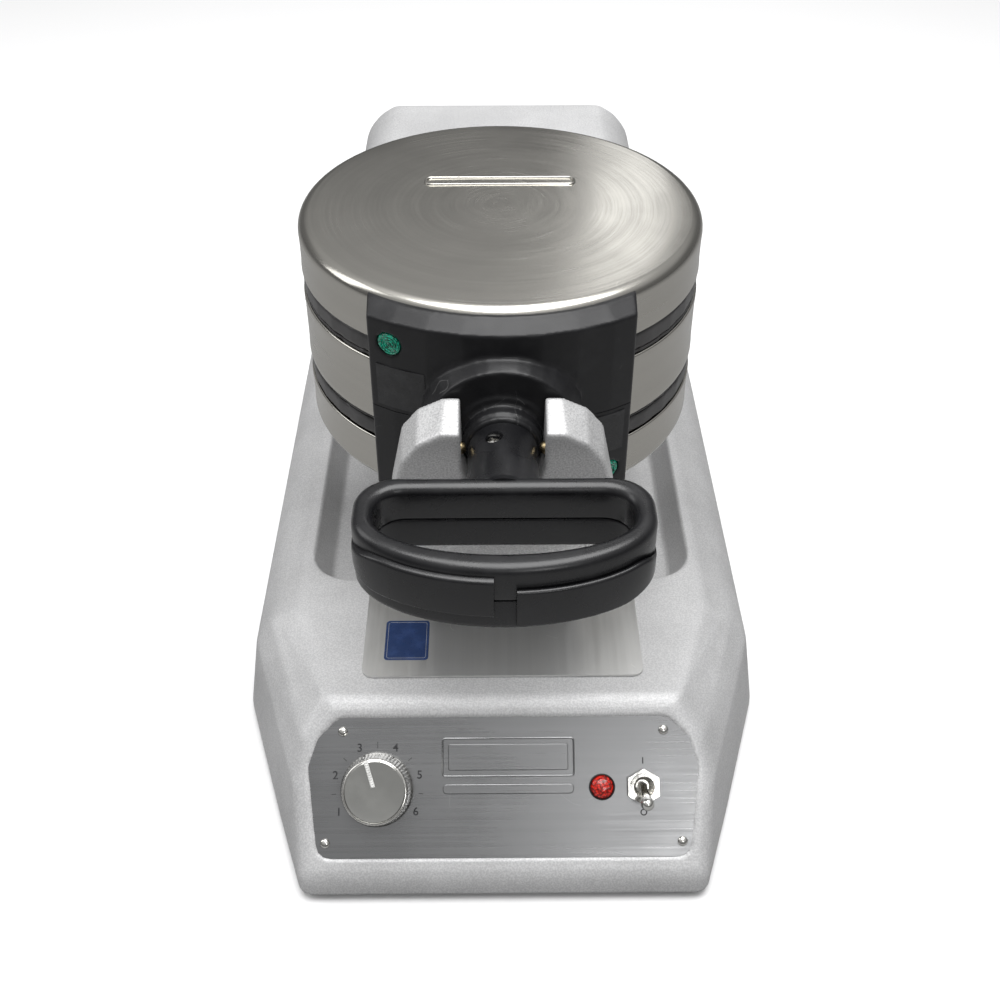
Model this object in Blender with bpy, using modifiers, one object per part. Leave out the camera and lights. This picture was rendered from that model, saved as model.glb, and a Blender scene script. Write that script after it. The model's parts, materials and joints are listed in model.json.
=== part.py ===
"""Double rotary waffle maker: a cast base with a rear bearing tower and a front fork, and a
round two-chamber baking head that turns end over end between them.

Units are metres, +Z is up and the user stands at -Y. The origin is on the table, under the
middle of the whole appliance."""

import math

import bmesh
import bpy
from mathutils import Matrix, Vector

# ---------------------------------------------------------------- driving sizes
GAP = 0.0003                # clearance between pieces that touch
ROUND = 40                  # sides of a large round piece
SMALL_ROUND = 24            # sides of a small round piece

BASE_DEPTH = 0.444
BASE_SHIFT = 0.0019         # the grip stands a little proud of the base in front
BASE_HALF_WIDTH = 0.1337
FRONT_HALF_WIDTH = 0.094
WALL = 0.0035               # wall of the base casting
FOOT_HEIGHT = 0.004         # how far the feet hold the casting off the table
DECK_Z = 0.069              # flat top of the casting
DECK_HALF_WIDTH = 0.103
DECK_FRONT_HALF_WIDTH = 0.0826
DECK_FRONT_SETBACK = 0.062  # deck's front edge behind the front of the casting
LOWER_WALL_HEIGHT = 0.045
LOWER_WALL_DRAFT = 0.0072
SKIRT_HEIGHT = 0.010        # upright strip under the sloping control panel
SHOULDER_CORNER_SETBACK = 0.119   # where the front diagonals meet the parallel sides
CORNER_ROUND = 0.004

RECESS_DEPTH = 0.020        # basin under the head
RECESS_HALF_WIDTH = 0.099
RECESS_SLOPE = 0.0075
RECESS_CORNER = 0.020
RECESS_UNDERCUT = 0.0176    # basin's front edge behind the head's front

TOWER_TOP_Z = 0.2111
TOWER_CLEARANCE = 0.0129    # room for the hinge between the pins and the tower
TOWER_TOP_HALF_WIDTH = 0.0629

HEAD_Y = -0.0051            # middle of the head, front to back
AXIS_Z = 0.1933             # height of the head's turning axis
HEAD_RADIUS = 0.0961
HEAD_HALF_HEIGHT = 0.0544
COVER_HEIGHT = 0.0269       # side wall and shoulder of each lid cover
COVER_SHOULDER = 0.0048
SHEET = 0.0012              # stainless sheet of covers and band
BAND_HALF_HEIGHT = 0.0164   # stainless band round the middle unit
PARTING = 0.0187            # mating plane of the plates, above and below the axis
PLATE_CAVITY = 0.0110
PLATE_RIM = 0.0071          # between the baking chamber and the head's outside
PLATE_FLOOR = 0.0030
STUD_PITCH = 0.029
STUD_BASE = 0.017
STUD_TOP = 0.013
STUD_HEIGHT = 0.0090

HINGE_BACK = 0.0090         # hinge pin behind the head's rear edge
HINGE_PIN_RADIUS = 0.0025
HINGE_HALF_WIDTH = 0.034
HINGE_LEAF = 0.005

BRACKET_HALF_WIDTH = 0.058
BRACKET_DEPTH = 0.0094      # from the head's outside to the front brackets' outer face
BRACKET_HEIGHT = 0.0457     # above and below the axis, at the front edge
BRACKET_REAR_HEIGHT = 0.0505    # where the top meets the cover
BOSS_ROOT_RADIUS = 0.0365
BOSS_RADIUS = 0.0330
BOSS_REACH = 0.0075
FACE_RING_WIDTH = 0.0035
FACE_RING_REACH = 0.0009
COLLAR_LIP = 0.0022         # how far the collar stands out from the neck
COLLAR_STEP = 0.0011
NECK_RADIUS = 0.0150
TENON_RADIUS = 0.0080
TENON_LENGTH = 0.0180
SCREW_X = -0.0040           # the two grips' screws pass on either side of the middle
SCREW_SETBACK = 0.0100

FORK_FRONT_TOP = 0.0163     # arm tips above the axis, at the front face
FORK_BACK_TOP = 0.0228
FORK_THICKNESS = 0.0190
FORK_GAP = 0.0012           # between the turning boss and the fork
FORK_HALF_WIDTH = 0.0485
FORK_UPRIGHT = 0.0340       # the upright part reaches this far below the axis
FORK_FOOT_HALF_WIDTH = 0.0380
FORK_FOOT_DEPTH = 0.0140
FORK_FOOT_SETBACK = 0.0033  # foot in front of the basin's edge

HANDLE_HALF_WIDTH = 0.0590
NECK_LENGTH = 0.0375        # from the collar to the flat back of the grip
HANDLE_DEPTH = 0.0556
HANDLE_BAR = 0.0085
HANDLE_FRONT_SHARE = 1.25   # the front bar is this much thicker than the others
HANDLE_HEIGHT = 0.0160
HANDLE_ROUND = 0.0030
SKIRT_ABOVE = 0.0120
SKIRT_BELOW = 0.0065
SKIRT_THICKNESS = 0.0020
SKIRT_CLEARANCE = 0.0006
SKIRT_HALF_GAP = 0.0042

PLATE_THICKNESS = 0.0008    # control plate
PLATE_CORNER = 0.0075
POCKET_DEPTH = 0.0015
KNOB_U, KNOB_V = -0.0587, 0.0410
KNOB_RADIUS = 0.0168
KNOB_HEIGHT = 0.0150
KNOB_SHAFT_RADIUS = 0.0030
LAMP_U, LAMP_V = 0.0458, 0.0414
LAMP_RADIUS = 0.0053
TOGGLE_U, TOGGLE_V = 0.0650, 0.0414
TOGGLE_NUT_RADIUS = 0.0083
TOGGLE_BUSH_RADIUS = 0.0058
TOGGLE_TILT = math.radians(25)
TOGGLE_PIVOT_N = 0.0015
RIVET_RADIUS = 0.0023

TRAY_HALF_WIDTH = 0.0675
TRAY_SETBACK = 0.0140       # front edge behind the deck's front edge
TRAY_LENGTH = 0.0880
TRAY_THICKNESS = 0.0012

SHAFT_RADIUS = 0.0085
SHAFT_BORE = 0.0050
SHAFT_LENGTH = 0.052
BUSH_WALL = 0.0030
RUNNING_GAP = 0.00025

FORK_SCREW_X = 0.024
PAD_RADIUS = 0.0030
PAD_OUTER_X = 0.0250
GLAND_X = -0.045
GLAND_HEIGHT = 0.026        # above the casting's bottom edge
GLAND_RADIUS = 0.0080
PLATE_MARGIN = 0.0010       # room to fit the base plate
LENS_RADIUS = 0.0050
LENS_SEAT = 0.00031         # from the cover to the ready lights' back
LENS_X = -0.0485
LENS_ABOVE_AXIS = 0.0345

# ---------------------------------------------------------------- derived places
FRONT_Y = BASE_SHIFT - BASE_DEPTH / 2
BACK_Y = BASE_SHIFT + BASE_DEPTH / 2
BASE_Z = FOOT_HEIGHT
PANEL_FOOT_Y = FRONT_Y + 0.0015
PANEL_FOOT_Z = BASE_Z + SKIRT_HEIGHT
DECK_FRONT_Y = FRONT_Y + DECK_FRONT_SETBACK
PANEL_TILT = math.atan2(DECK_Z - PANEL_FOOT_Z, DECK_FRONT_Y - PANEL_FOOT_Y)
PANEL_LENGTH = math.hypot(DECK_Z - PANEL_FOOT_Z, DECK_FRONT_Y - PANEL_FOOT_Y)
HINGE_Y = HEAD_Y + HEAD_RADIUS + HINGE_BACK
TOWER_FRONT_Y = HINGE_Y + TOWER_CLEARANCE
PLATE_CAVITY_RADIUS = HEAD_RADIUS - PLATE_RIM
COLLAR_RADIUS = NECK_RADIUS + COLLAR_LIP
COLLAR_STEP_RADIUS = COLLAR_RADIUS - COLLAR_STEP
FACE_RING_RADIUS = COLLAR_RADIUS + FACE_RING_WIDTH
BRACKET_RADIUS = HEAD_RADIUS + BRACKET_DEPTH
BRACKET_FACE_Y = HEAD_Y - BRACKET_RADIUS
LENS_BACK_Y = HEAD_Y - LENS_SEAT - math.sqrt(HEAD_RADIUS ** 2 - (abs(LENS_X) - LENS_RADIUS) ** 2)
BOSS_FACE_Y = BRACKET_FACE_Y - BOSS_REACH
FORK_BACK_Y = BOSS_FACE_Y - FACE_RING_REACH - FORK_GAP
FORK_FRONT_Y = FORK_BACK_Y - FORK_THICKNESS
COLLAR_STEP_Y = FORK_BACK_Y - 0.0042
COLLAR_END_Y = FORK_BACK_Y - 0.0074
SCREW_Y = COLLAR_END_Y - SCREW_SETBACK
TENON_END_Y = COLLAR_END_Y - TENON_LENGTH
HANDLE_BACK_Y = COLLAR_END_Y - NECK_LENGTH
HANDLE_FRONT_Y = HANDLE_BACK_Y - HANDLE_DEPTH
TRAY_FRONT_Y = DECK_FRONT_Y + TRAY_SETBACK
RECESS_FRONT_Y = HEAD_Y - HEAD_RADIUS + RECESS_UNDERCUT
RECESS_BACK_Y = TOWER_FRONT_Y - 0.004
FORK_FOOT_BACK_Y = RECESS_FRONT_Y - FORK_FOOT_SETBACK
FORK_FOOT_FRONT_Y = FORK_FOOT_BACK_Y - FORK_FOOT_DEPTH
FORK_SCREW_Y = (FORK_FOOT_BACK_Y + FORK_FOOT_FRONT_Y) / 2
PAD_Y = COLLAR_END_Y - PAD_RADIUS - 0.0003
PAD_Z = AXIS_Z + 0.0035
GLAND_Z = BASE_Z + GLAND_HEIGHT
LENS_Z = AXIS_Z + LENS_ABOVE_AXIS
PLATE_FACE_N = 2 * GAP - POCKET_DEPTH + PLATE_THICKNESS

STEEL = ((0.55, 0.55, 0.54), 0.25, 1.0)
PAINT = ((0.62, 0.63, 0.64), 0.55, 0.3)
BLACK = ((0.02, 0.02, 0.022), 0.45, 0.0)
COATING = ((0.045, 0.045, 0.045), 0.5, 0.2)
BRASS = ((0.62, 0.47, 0.22), 0.3, 1.0)
RUBBER = ((0.03, 0.03, 0.03), 0.8, 0.0)
RED = ((0.6, 0.03, 0.02), 0.2, 0.0)
GREEN = ((0.01, 0.25, 0.17), 0.3, 0.0)
CHROME = ((0.75, 0.75, 0.76), 0.08, 1.0)


# ---------------------------------------------------------------- modelling helpers
def clear_scene():
    for old in list(bpy.data.objects):
        bpy.data.objects.remove(old, do_unlink=True)


def parts_collection():
    name = "waffle_maker"
    found = bpy.data.collections.get(name)
    if found is None:
        found = bpy.data.collections.new(name)
        bpy.context.scene.collection.children.link(found)
    return found


def placed(name, mesh):
    """A new object of this mesh in the waffle maker's collection."""
    obj = bpy.data.objects.new(name, mesh)
    parts_collection().objects.link(obj)
    return obj


def from_bmesh(name, bm):
    bmesh.ops.recalc_face_normals(bm, faces=bm.faces)
    mesh = bpy.data.meshes.new(name)
    bm.to_mesh(mesh)
    bm.free()
    return placed(name, mesh)


def settle(obj):
    """Makes the object's modifiers, or its curve, into its own plain mesh in world space."""
    bpy.context.view_layer.update()
    graph = bpy.context.evaluated_depsgraph_get()
    mesh = bpy.data.meshes.new_from_object(obj.evaluated_get(graph))
    mesh.transform(obj.matrix_world)
    bm = bmesh.new()
    bm.from_mesh(mesh)
    bmesh.ops.remove_doubles(bm, verts=bm.verts, dist=1e-6)
    bm.to_mesh(mesh)
    bm.free()
    name = obj.name
    bpy.data.objects.remove(obj, do_unlink=True)
    return placed(name, mesh)


def combine(obj, tool, operation):
    """Applies one Boolean to the object and removes the tool."""
    step = obj.modifiers.new(operation.lower(), "BOOLEAN")
    step.operation = operation
    step.solver = "EXACT"
    step.object = tool
    done = settle(obj)
    bpy.data.objects.remove(tool, do_unlink=True)
    return done


def cut(obj, *tools):
    for tool in tools:
        obj = combine(obj, tool, "DIFFERENCE")
    return obj


def join(obj, *tools):
    for tool in tools:
        obj = combine(obj, tool, "UNION")
    return obj


def box(name, low, high):
    bm = bmesh.new()
    bmesh.ops.create_cube(bm, size=1.0)
    size = Vector(high) - Vector(low)
    bmesh.ops.scale(bm, vec=size, verts=bm.verts)
    bmesh.ops.translate(bm, vec=(Vector(high) + Vector(low)) / 2, verts=bm.verts)
    return from_bmesh(name, bm)


def cone(name, radius_a, radius_b, start, end, sides=SMALL_ROUND):
    """A cylinder or cone from start to end, with these radii at the two ends."""
    start, end = Vector(start), Vector(end)
    bm = bmesh.new()
    length = (end - start).length
    bmesh.ops.create_cone(bm, cap_ends=True, segments=sides, radius1=radius_a,
                          radius2=radius_b, depth=length)
    turn = Vector((0, 0, 1)).rotation_difference(end - start).to_matrix().to_4x4()
    bmesh.ops.transform(bm, matrix=Matrix.Translation((start + end) / 2) @ turn, verts=bm.verts)
    return from_bmesh(name, bm)


def rod(name, radius, start, end, sides=SMALL_ROUND):
    return cone(name, radius, radius, start, end, sides)


def turned(name, profile, sides=ROUND):
    """A solid turned about Z from (radius, height) points that run down its outer side."""
    mesh = bpy.data.meshes.new(name)
    count = len(profile)
    edges = [(i, i + 1) for i in range(count - 1)]
    if profile[0][0] > 0:
        edges.append((count - 1, 0))
    mesh.from_pydata([(r, 0.0, z) for r, z in profile], edges, [])
    obj = placed(name, mesh)
    screw = obj.modifiers.new("turn", "SCREW")
    screw.axis = "Z"
    screw.steps = sides
    screw.render_steps = sides
    screw.use_merge_vertices = True
    screw.merge_threshold = 1e-6
    screw.use_normal_calculate = True
    obj = settle(obj)
    bm = bmesh.new()
    bm.from_mesh(obj.data)
    bmesh.ops.recalc_face_normals(bm, faces=bm.faces)
    bm.to_mesh(obj.data)
    bm.free()
    return obj


def move(obj, matrix):
    obj.data.transform(matrix)
    return obj


def prism(name, outline, low, high, matrix=Matrix()):
    """The closed outline in XY, from height low to height high, then moved by the matrix."""
    curve = bpy.data.curves.new(name, "CURVE")
    curve.dimensions = "2D"
    curve.fill_mode = "BOTH"
    curve.extrude = (high - low) / 2
    line = curve.splines.new("POLY")
    line.points.add(len(outline) - 1)
    for point, (x, y) in zip(line.points, outline):
        point.co = (x, y, 0, 1)
    line.use_cyclic_u = True
    obj = bpy.data.objects.new(name, curve)
    parts_collection().objects.link(obj)
    obj.matrix_world = matrix @ Matrix.Translation((0, 0, (low + high) / 2))
    return settle(obj)


def hull(name, points, bevel=0.0, segments=2):
    """The convex solid around these points, with its edges rounded."""
    bm = bmesh.new()
    for point in points:
        bm.verts.new(point)
    made = bmesh.ops.convex_hull(bm, input=bm.verts)
    unused = [v for v in made["geom_interior"] if isinstance(v, bmesh.types.BMVert)]
    bmesh.ops.delete(bm, geom=unused, context="VERTS")
    bmesh.ops.dissolve_limit(bm, angle_limit=0.01, verts=bm.verts, edges=bm.edges)
    obj = from_bmesh(name, bm)
    if bevel:
        round_edges = obj.modifiers.new("round", "BEVEL")
        round_edges.width = bevel
        round_edges.segments = segments
        round_edges.limit_method = "ANGLE"
        round_edges.angle_limit = math.radians(12)
        obj = settle(obj)
    return obj


def arc(radius, start_deg, end_deg, steps, centre=(0.0, 0.0)):
    """Points along an arc, ends included."""
    out = []
    for i in range(steps + 1):
        angle = math.radians(start_deg + (end_deg - start_deg) * i / steps)
        out.append((centre[0] + radius * math.cos(angle), centre[1] + radius * math.sin(angle)))
    return out


def mirrored(half):
    """Both sides of an outline whose half at +X is given in order."""
    return list(half) + [(-x, y) for x, y in reversed(half)]


def both_sides(points):
    return [(side * x, y, z) for x, y, z in points for side in (1, -1)]


AXIS_FRAME = Matrix.Translation((0, HEAD_Y, AXIS_Z))
TURNED_OVER = AXIS_FRAME @ Matrix.Rotation(math.pi, 4, "Y") @ AXIS_FRAME.inverted()
# panel frame: X to the right, Y up the slope, Z out of the panel
PANEL = Matrix.Translation((0, PANEL_FOOT_Y, PANEL_FOOT_Z)) @ Matrix.Rotation(PANEL_TILT, 4, "X")
# front-view frame: outline X stays X, outline Y becomes Z, depth runs towards -Y from y = 0


def panel_point(u, v, n=0.0):
    return PANEL @ Vector((u, v, n))


def turned_over(obj, name):
    """A copy of a head piece, turned half a turn about the head's axis."""
    twin = placed(name, obj.data.copy())
    twin.data.transform(TURNED_OVER)
    return twin


def finish(obj, look, pivot=None):
    """Gives the piece its material, smooth shading and the empty that it turns on."""
    colour, roughness, metallic = look
    material = bpy.data.materials.new(obj.name)
    material.use_nodes = True
    shader = material.node_tree.nodes["Principled BSDF"]
    shader.inputs["Base Color"].default_value = (*colour, 1.0)
    shader.inputs["Roughness"].default_value = roughness
    shader.inputs["Metallic"].default_value = metallic
    obj.data.materials.clear()
    obj.data.materials.append(material)
    obj.data.shade_smooth()
    obj.data.set_sharp_from_angle(angle=math.radians(35))
    if pivot is not None:
        obj.parent = pivot
        obj.matrix_parent_inverse = Matrix.Translation(pivot.location).inverted()
    return obj


def empty(name, location):
    pivot = bpy.data.objects.new(name, None)
    pivot.location = location
    pivot.empty_display_size = 0.02
    parts_collection().objects.link(pivot)
    return pivot


# ---------------------------------------------------------------- base
def casting_points(inset=0.0, open_below=0.0):
    """Corners of the base casting, drawn in by inset for the hollow inside it."""
    side = BASE_HALF_WIDTH - inset
    top_side = side - LOWER_WALL_DRAFT
    front = FRONT_HALF_WIDTH - inset
    front_y = FRONT_Y + inset
    corner_y = FRONT_Y + SHOULDER_CORNER_SETBACK
    back_y = BACK_Y - inset
    low = BASE_Z - open_below
    spread = open_below / LOWER_WALL_HEIGHT
    low_side = side + LOWER_WALL_DRAFT * spread
    low_back = back_y + 0.005 * spread
    low_front = front_y - 0.0015 * open_below / SKIRT_HEIGHT
    wall_z = BASE_Z + LOWER_WALL_HEIGHT - inset / 2
    ridge_z = DECK_Z - inset
    mid_z = (wall_z + ridge_z) / 2 + 0.002
    mid_side = DECK_HALF_WIDTH + 0.015 - inset
    points = [(front, low_front, low), (low_side, corner_y, low),
              (low_side, low_back - 0.017, low), (low_side - 0.016, low_back, low)]
    points += [(front, front_y + 0.0015, BASE_Z + SKIRT_HEIGHT - inset / 2),
               (top_side, corner_y + 0.003, wall_z), (top_side, back_y - 0.022, wall_z),
               (top_side - 0.014, back_y - 0.005, wall_z)]
    points += [(mid_side, corner_y + 0.007, mid_z), (mid_side, back_y - 0.030, mid_z),
               (mid_side - 0.012, back_y - 0.013, mid_z)]
    points += [(DECK_HALF_WIDTH - inset, corner_y + 0.006, ridge_z),
               (DECK_HALF_WIDTH - inset, back_y - 0.037, ridge_z),
               (DECK_HALF_WIDTH - 0.010 - inset, back_y - 0.020, ridge_z)]
    for half_width, share in ((0.0972, 0.49), (0.0937, 0.77), (DECK_FRONT_HALF_WIDTH, 1.0)):
        point = panel_point(half_width - inset, share * PANEL_LENGTH, -inset)
        points.append(tuple(point))
    return both_sides(points)


def tower_points(inset=0.0):
    """Corners of the rear tower: shoulders that slope at the sides, and a leaning back."""
    low = BASE_Z + LOWER_WALL_HEIGHT - 0.010
    top = TOWER_TOP_Z - inset
    front = TOWER_FRONT_Y + inset
    back = BACK_Y - 0.022 - inset
    half = TOWER_TOP_HALF_WIDTH - inset
    section = [(half, top), (half + 0.0095, top - 0.0063), (half + 0.0170, top - 0.0162),
               (half + 0.0195, top - 0.0270), (half + 0.0320, low)]
    points = []
    for x, z in section:
        lean = (top - z) * 0.085
        front_back = front + max(0.0, 0.004 - (top - z) * 0.2)
        points.append((x, front_back, z))
        points.append((x, back + lean, z))
    return both_sides(points)


def recess_points(grow=0.0, above=0.03):
    """The basin under the head: a sloping-sided pan with round corners."""
    points = []
    depth = RECESS_DEPTH + grow
    rows = ((DECK_Z + above, -above * RECESS_SLOPE / RECESS_DEPTH), (DECK_Z - depth, RECESS_SLOPE))
    for z, slope in rows:
        half = RECESS_HALF_WIDTH + grow - slope
        front = RECESS_FRONT_Y - grow + max(slope, 0) * 2.0
        back = RECESS_BACK_Y + grow - max(slope, 0)
        for x, y in arc(RECESS_CORNER, 0, 90, 7, (half - RECESS_CORNER, back - RECESS_CORNER)):
            points.append((x, y, z))
        for x, y in arc(RECESS_CORNER, 0, 90, 7, (half - RECESS_CORNER, -front - RECESS_CORNER)):
            points.append((x, -y, z))
    return both_sides(points)


def rounded(points, radius, steps=3):
    """A closed outline with each corner rounded, as far as its two sides allow."""
    outline = []
    for i, corner in enumerate(points):
        here = Vector(corner)
        before = Vector(points[i - 1]) - here
        after = Vector(points[(i + 1) % len(points)]) - here
        reach = min(radius / math.tan(before.angle(after) / 2), 0.45 * before.length,
                    0.45 * after.length)
        start = here + before.normalized() * reach
        end = here + after.normalized() * reach
        for k in range(steps + 1):
            t = k / steps
            outline.append(tuple(start * (1 - t) ** 2 + here * 2 * t * (1 - t) + end * t ** 2))
    return outline


def plate_outline(grow=0.0):
    """Outline of the control plate, in the panel's own coordinates."""
    half = [(0.077 + grow * 0.5, 0.0737 + grow), (0.0867 + grow * 0.8, 0.0643 + grow * 0.6),
            (0.0911 + grow, 0.0514), (0.0880 + grow, 0.0240), (0.0862 + grow, 0.0098 - grow)]
    return rounded(mirrored(half), PLATE_CORNER)


def panel_hole(name, u, v, radius):
    return rod(name, radius, panel_point(u, v, -0.012), panel_point(u, v, 0.012))


def make_base_housing():
    housing = hull("base_housing", casting_points(0.0, 0.01), CORNER_ROUND)
    housing = cut(housing, box("below_base", (-0.2, -0.3, -0.03), (0.2, 0.3, BASE_Z)))
    housing = join(housing, hull("tower_outside", tower_points(), CORNER_ROUND))
    hollow = hull("hollow", casting_points(WALL, 0.02))
    hollow = join(hollow, hull("tower_inside", tower_points(WALL)))
    hollow = cut(hollow, hull("basin_wall", recess_points(WALL)))
    for side in (-1, 1):
        x = side * FORK_SCREW_X
        boss = rod("fork_boss", 0.008, (x, FORK_SCREW_Y, DECK_Z - 0.012), (x, FORK_SCREW_Y, DECK_Z))
        hollow = cut(hollow, boss)
    housing = cut(housing, hollow, hull("basin", recess_points()))
    pocket = prism("pocket", plate_outline(GAP), -POCKET_DEPTH, 0.004, PANEL)
    housing = cut(housing, pocket)
    for u, v, radius in ((KNOB_U, KNOB_V, KNOB_SHAFT_RADIUS + 0.0015),
                         (LAMP_U, LAMP_V, LAMP_RADIUS + GAP),
                         (TOGGLE_U, TOGGLE_V, TOGGLE_BUSH_RADIUS + GAP)):
        housing = cut(housing, panel_hole("hole", u, v, radius))
    bearing = rod("bearing_hole", SHAFT_RADIUS + BUSH_WALL + GAP,
                  (0, TOWER_FRONT_Y - 0.01, AXIS_Z), (0, TOWER_FRONT_Y + 0.02, AXIS_Z))
    gland = rod("gland_hole", GLAND_RADIUS + GAP, (GLAND_X, BACK_Y - 0.05, GLAND_Z),
                (GLAND_X, BACK_Y + 0.01, GLAND_Z))
    housing = cut(housing, bearing, gland)
    for side in (-1, 1):
        x = side * FORK_SCREW_X
        hole = rod("screw_hole", 0.0025, (x, FORK_SCREW_Y, DECK_Z - 0.02),
                   (x, FORK_SCREW_Y, DECK_Z + 0.01), 12)
        housing = cut(housing, hole)
    return finish(housing, PAINT)


def make_base_plate():
    """The steel sheet that closes the casting from below."""
    inset = WALL + PLATE_MARGIN
    half = [(FRONT_HALF_WIDTH - inset, FRONT_Y + inset + 0.001),
            (BASE_HALF_WIDTH - inset, FRONT_Y + SHOULDER_CORNER_SETBACK),
            (BASE_HALF_WIDTH - inset, BACK_Y - 0.017 - inset),
            (BASE_HALF_WIDTH - 0.016 - inset, BACK_Y - inset)]
    plate = prism("base_plate", mirrored(half), BASE_Z + 0.0004, BASE_Z + 0.0016)
    for i in range(5):
        x = -0.036 + 0.018 * i
        slot = box("vent", (x - 0.003, -0.030, BASE_Z - 0.01), (x + 0.003, 0.030, BASE_Z + 0.01))
        plate = cut(plate, slot)
    return finish(plate, STEEL)


def make_feet():
    for name, x, y in (("foot_front_left", -0.078, FRONT_Y + 0.026),
                       ("foot_front_right", 0.078, FRONT_Y + 0.026),
                       ("foot_rear_left", -0.105, BACK_Y - 0.030),
                       ("foot_rear_right", 0.105, BACK_Y - 0.030)):
        foot = cone(name, 0.0095, 0.0110, (x, y, 0), (x, y, BASE_Z + 0.0004 - GAP))
        finish(foot, RUBBER)


def make_control_plate():
    plate = prism("control_plate", plate_outline(), GAP - POCKET_DEPTH,
                  GAP - POCKET_DEPTH + PLATE_THICKNESS, PANEL)
    for u, v, radius in ((KNOB_U, KNOB_V, KNOB_SHAFT_RADIUS + 0.001),
                         (LAMP_U, LAMP_V, LAMP_RADIUS + GAP),
                         (TOGGLE_U, TOGGLE_V, TOGGLE_BUSH_RADIUS + GAP)):
        plate = cut(plate, panel_hole("hole", u, v, radius))
    return finish(plate, STEEL)


def make_rivets():
    for name, u, v in (("panel_rivet_upper_left", -0.075, 0.0674),
                       ("panel_rivet_upper_right", 0.075, 0.0674),
                       ("panel_rivet_lower_left", -0.0827, 0.0166),
                       ("panel_rivet_lower_right", 0.0827, 0.0166)):
        head = cone(name, RIVET_RADIUS, RIVET_RADIUS * 0.55, panel_point(u, v, PLATE_FACE_N),
                    panel_point(u, v, PLATE_FACE_N + 0.0011), 16)
        finish(head, CHROME)


def make_lamp():
    """Red domed lens, and the lamp body that holds it from behind."""
    low = -WALL - 0.002
    profile = [(0, 0.0024), (0.0026, 0.0019), (0.0045, 0.0005), (LAMP_RADIUS, -0.0008)]
    profile += [(LAMP_RADIUS, low), (0, low)]
    lens = move(turned("pilot_lamp_lens", profile, SMALL_ROUND),
                PANEL @ Matrix.Translation((LAMP_U, LAMP_V, 0)))
    finish(lens, RED)
    body = rod("pilot_lamp_body", 0.0068, panel_point(LAMP_U, LAMP_V, low - GAP - 0.018),
               panel_point(LAMP_U, LAMP_V, low - GAP))
    finish(body, BLACK)


def make_knob(pivot):
    """Control knob with a pointer rib on its face, and the spindle that it turns."""
    face = PLATE_FACE_N + 0.0006
    top = face + KNOB_HEIGHT
    profile = [(0, top), (KNOB_RADIUS * 0.86, top), (KNOB_RADIUS * 0.92, top - 0.0012)]
    profile += [(KNOB_RADIUS, face + 0.0030), (KNOB_RADIUS, face), (0, face)]
    place = PANEL @ Matrix.Translation((KNOB_U, KNOB_V, 0))
    knob = move(turned("knob", profile, 36), place)
    socket = rod("socket", KNOB_SHAFT_RADIUS + GAP, panel_point(KNOB_U, KNOB_V, face - 0.002),
                 panel_point(KNOB_U, KNOB_V, face + 0.010))
    knob = cut(knob, socket)
    finish(knob, CHROME, pivot)
    spindle = rod("knob_spindle", KNOB_SHAFT_RADIUS, panel_point(KNOB_U, KNOB_V, -WALL - 0.0025),
                  panel_point(KNOB_U, KNOB_V, face + 0.010 - GAP))
    finish(spindle, STEEL, pivot)


def make_thermostat():
    body = prism("thermostat", mirrored([(0.015, 0.012), (0.015, -0.012)]), -WALL - 0.028,
                 -WALL - 0.0028, PANEL @ Matrix.Translation((KNOB_U, KNOB_V, 0)))
    finish(body, STEEL)


def make_toggle(pivot):
    """Toggle switch: body behind the panel, threaded bush with its nut, and the lever."""
    low = -WALL - 0.0012
    body = prism("toggle_body", mirrored([(0.0065, 0.013), (0.0065, -0.013)]), low - 0.022, low,
                 PANEL @ Matrix.Translation((TOGGLE_U, TOGGLE_V, 0)))
    bush = rod("bush", TOGGLE_BUSH_RADIUS, panel_point(TOGGLE_U, TOGGLE_V, low - 0.001),
               panel_point(TOGGLE_U, TOGGLE_V, 0.0042))
    body = join(body, bush)
    mouth = cone("mouth", 0.0030, 0.0050, panel_point(TOGGLE_U, TOGGLE_V, -0.0035),
                 panel_point(TOGGLE_U, TOGGLE_V, 0.0045))
    finish(cut(body, mouth), CHROME)
    nut = rod("toggle_nut", TOGGLE_NUT_RADIUS, panel_point(TOGGLE_U, TOGGLE_V, PLATE_FACE_N),
              panel_point(TOGGLE_U, TOGGLE_V, PLATE_FACE_N + 0.0026), 6)
    hole = rod("hole", TOGGLE_BUSH_RADIUS + GAP, panel_point(TOGGLE_U, TOGGLE_V, -0.01),
               panel_point(TOGGLE_U, TOGGLE_V, 0.01))
    finish(cut(nut, hole), CHROME)
    profile = [(0, 0.0185), (0.0020, 0.0178), (0.0030, 0.0160), (0.0030, 0.0140)]
    profile += [(0.0016, 0.0010), (0.0018, -0.0012), (0, -0.0020)]
    lever = turned("toggle_lever", profile, 16)
    place = PANEL @ Matrix.Translation((TOGGLE_U, TOGGLE_V, TOGGLE_PIVOT_N))
    move(lever, place @ Matrix.Rotation(TOGGLE_TILT, 4, "X"))
    finish(lever, CHROME, pivot)


def fork_outline(top, tip_half, shoulder_drop):
    """The right half of the fork seen from the front, heights measured from the axis."""
    channel = COLLAR_RADIUS + GAP
    inner = [(channel + 0.0004, top)] + arc(channel, 0, -90, 8)
    outer = [(FORK_HALF_WIDTH, -FORK_UPRIGHT - 0.0040), (FORK_HALF_WIDTH, -0.0180),
             (0.0430, top - shoulder_drop), (0.0360, top - shoulder_drop * 0.38),
             (tip_half, top)]
    return outer, inner


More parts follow.
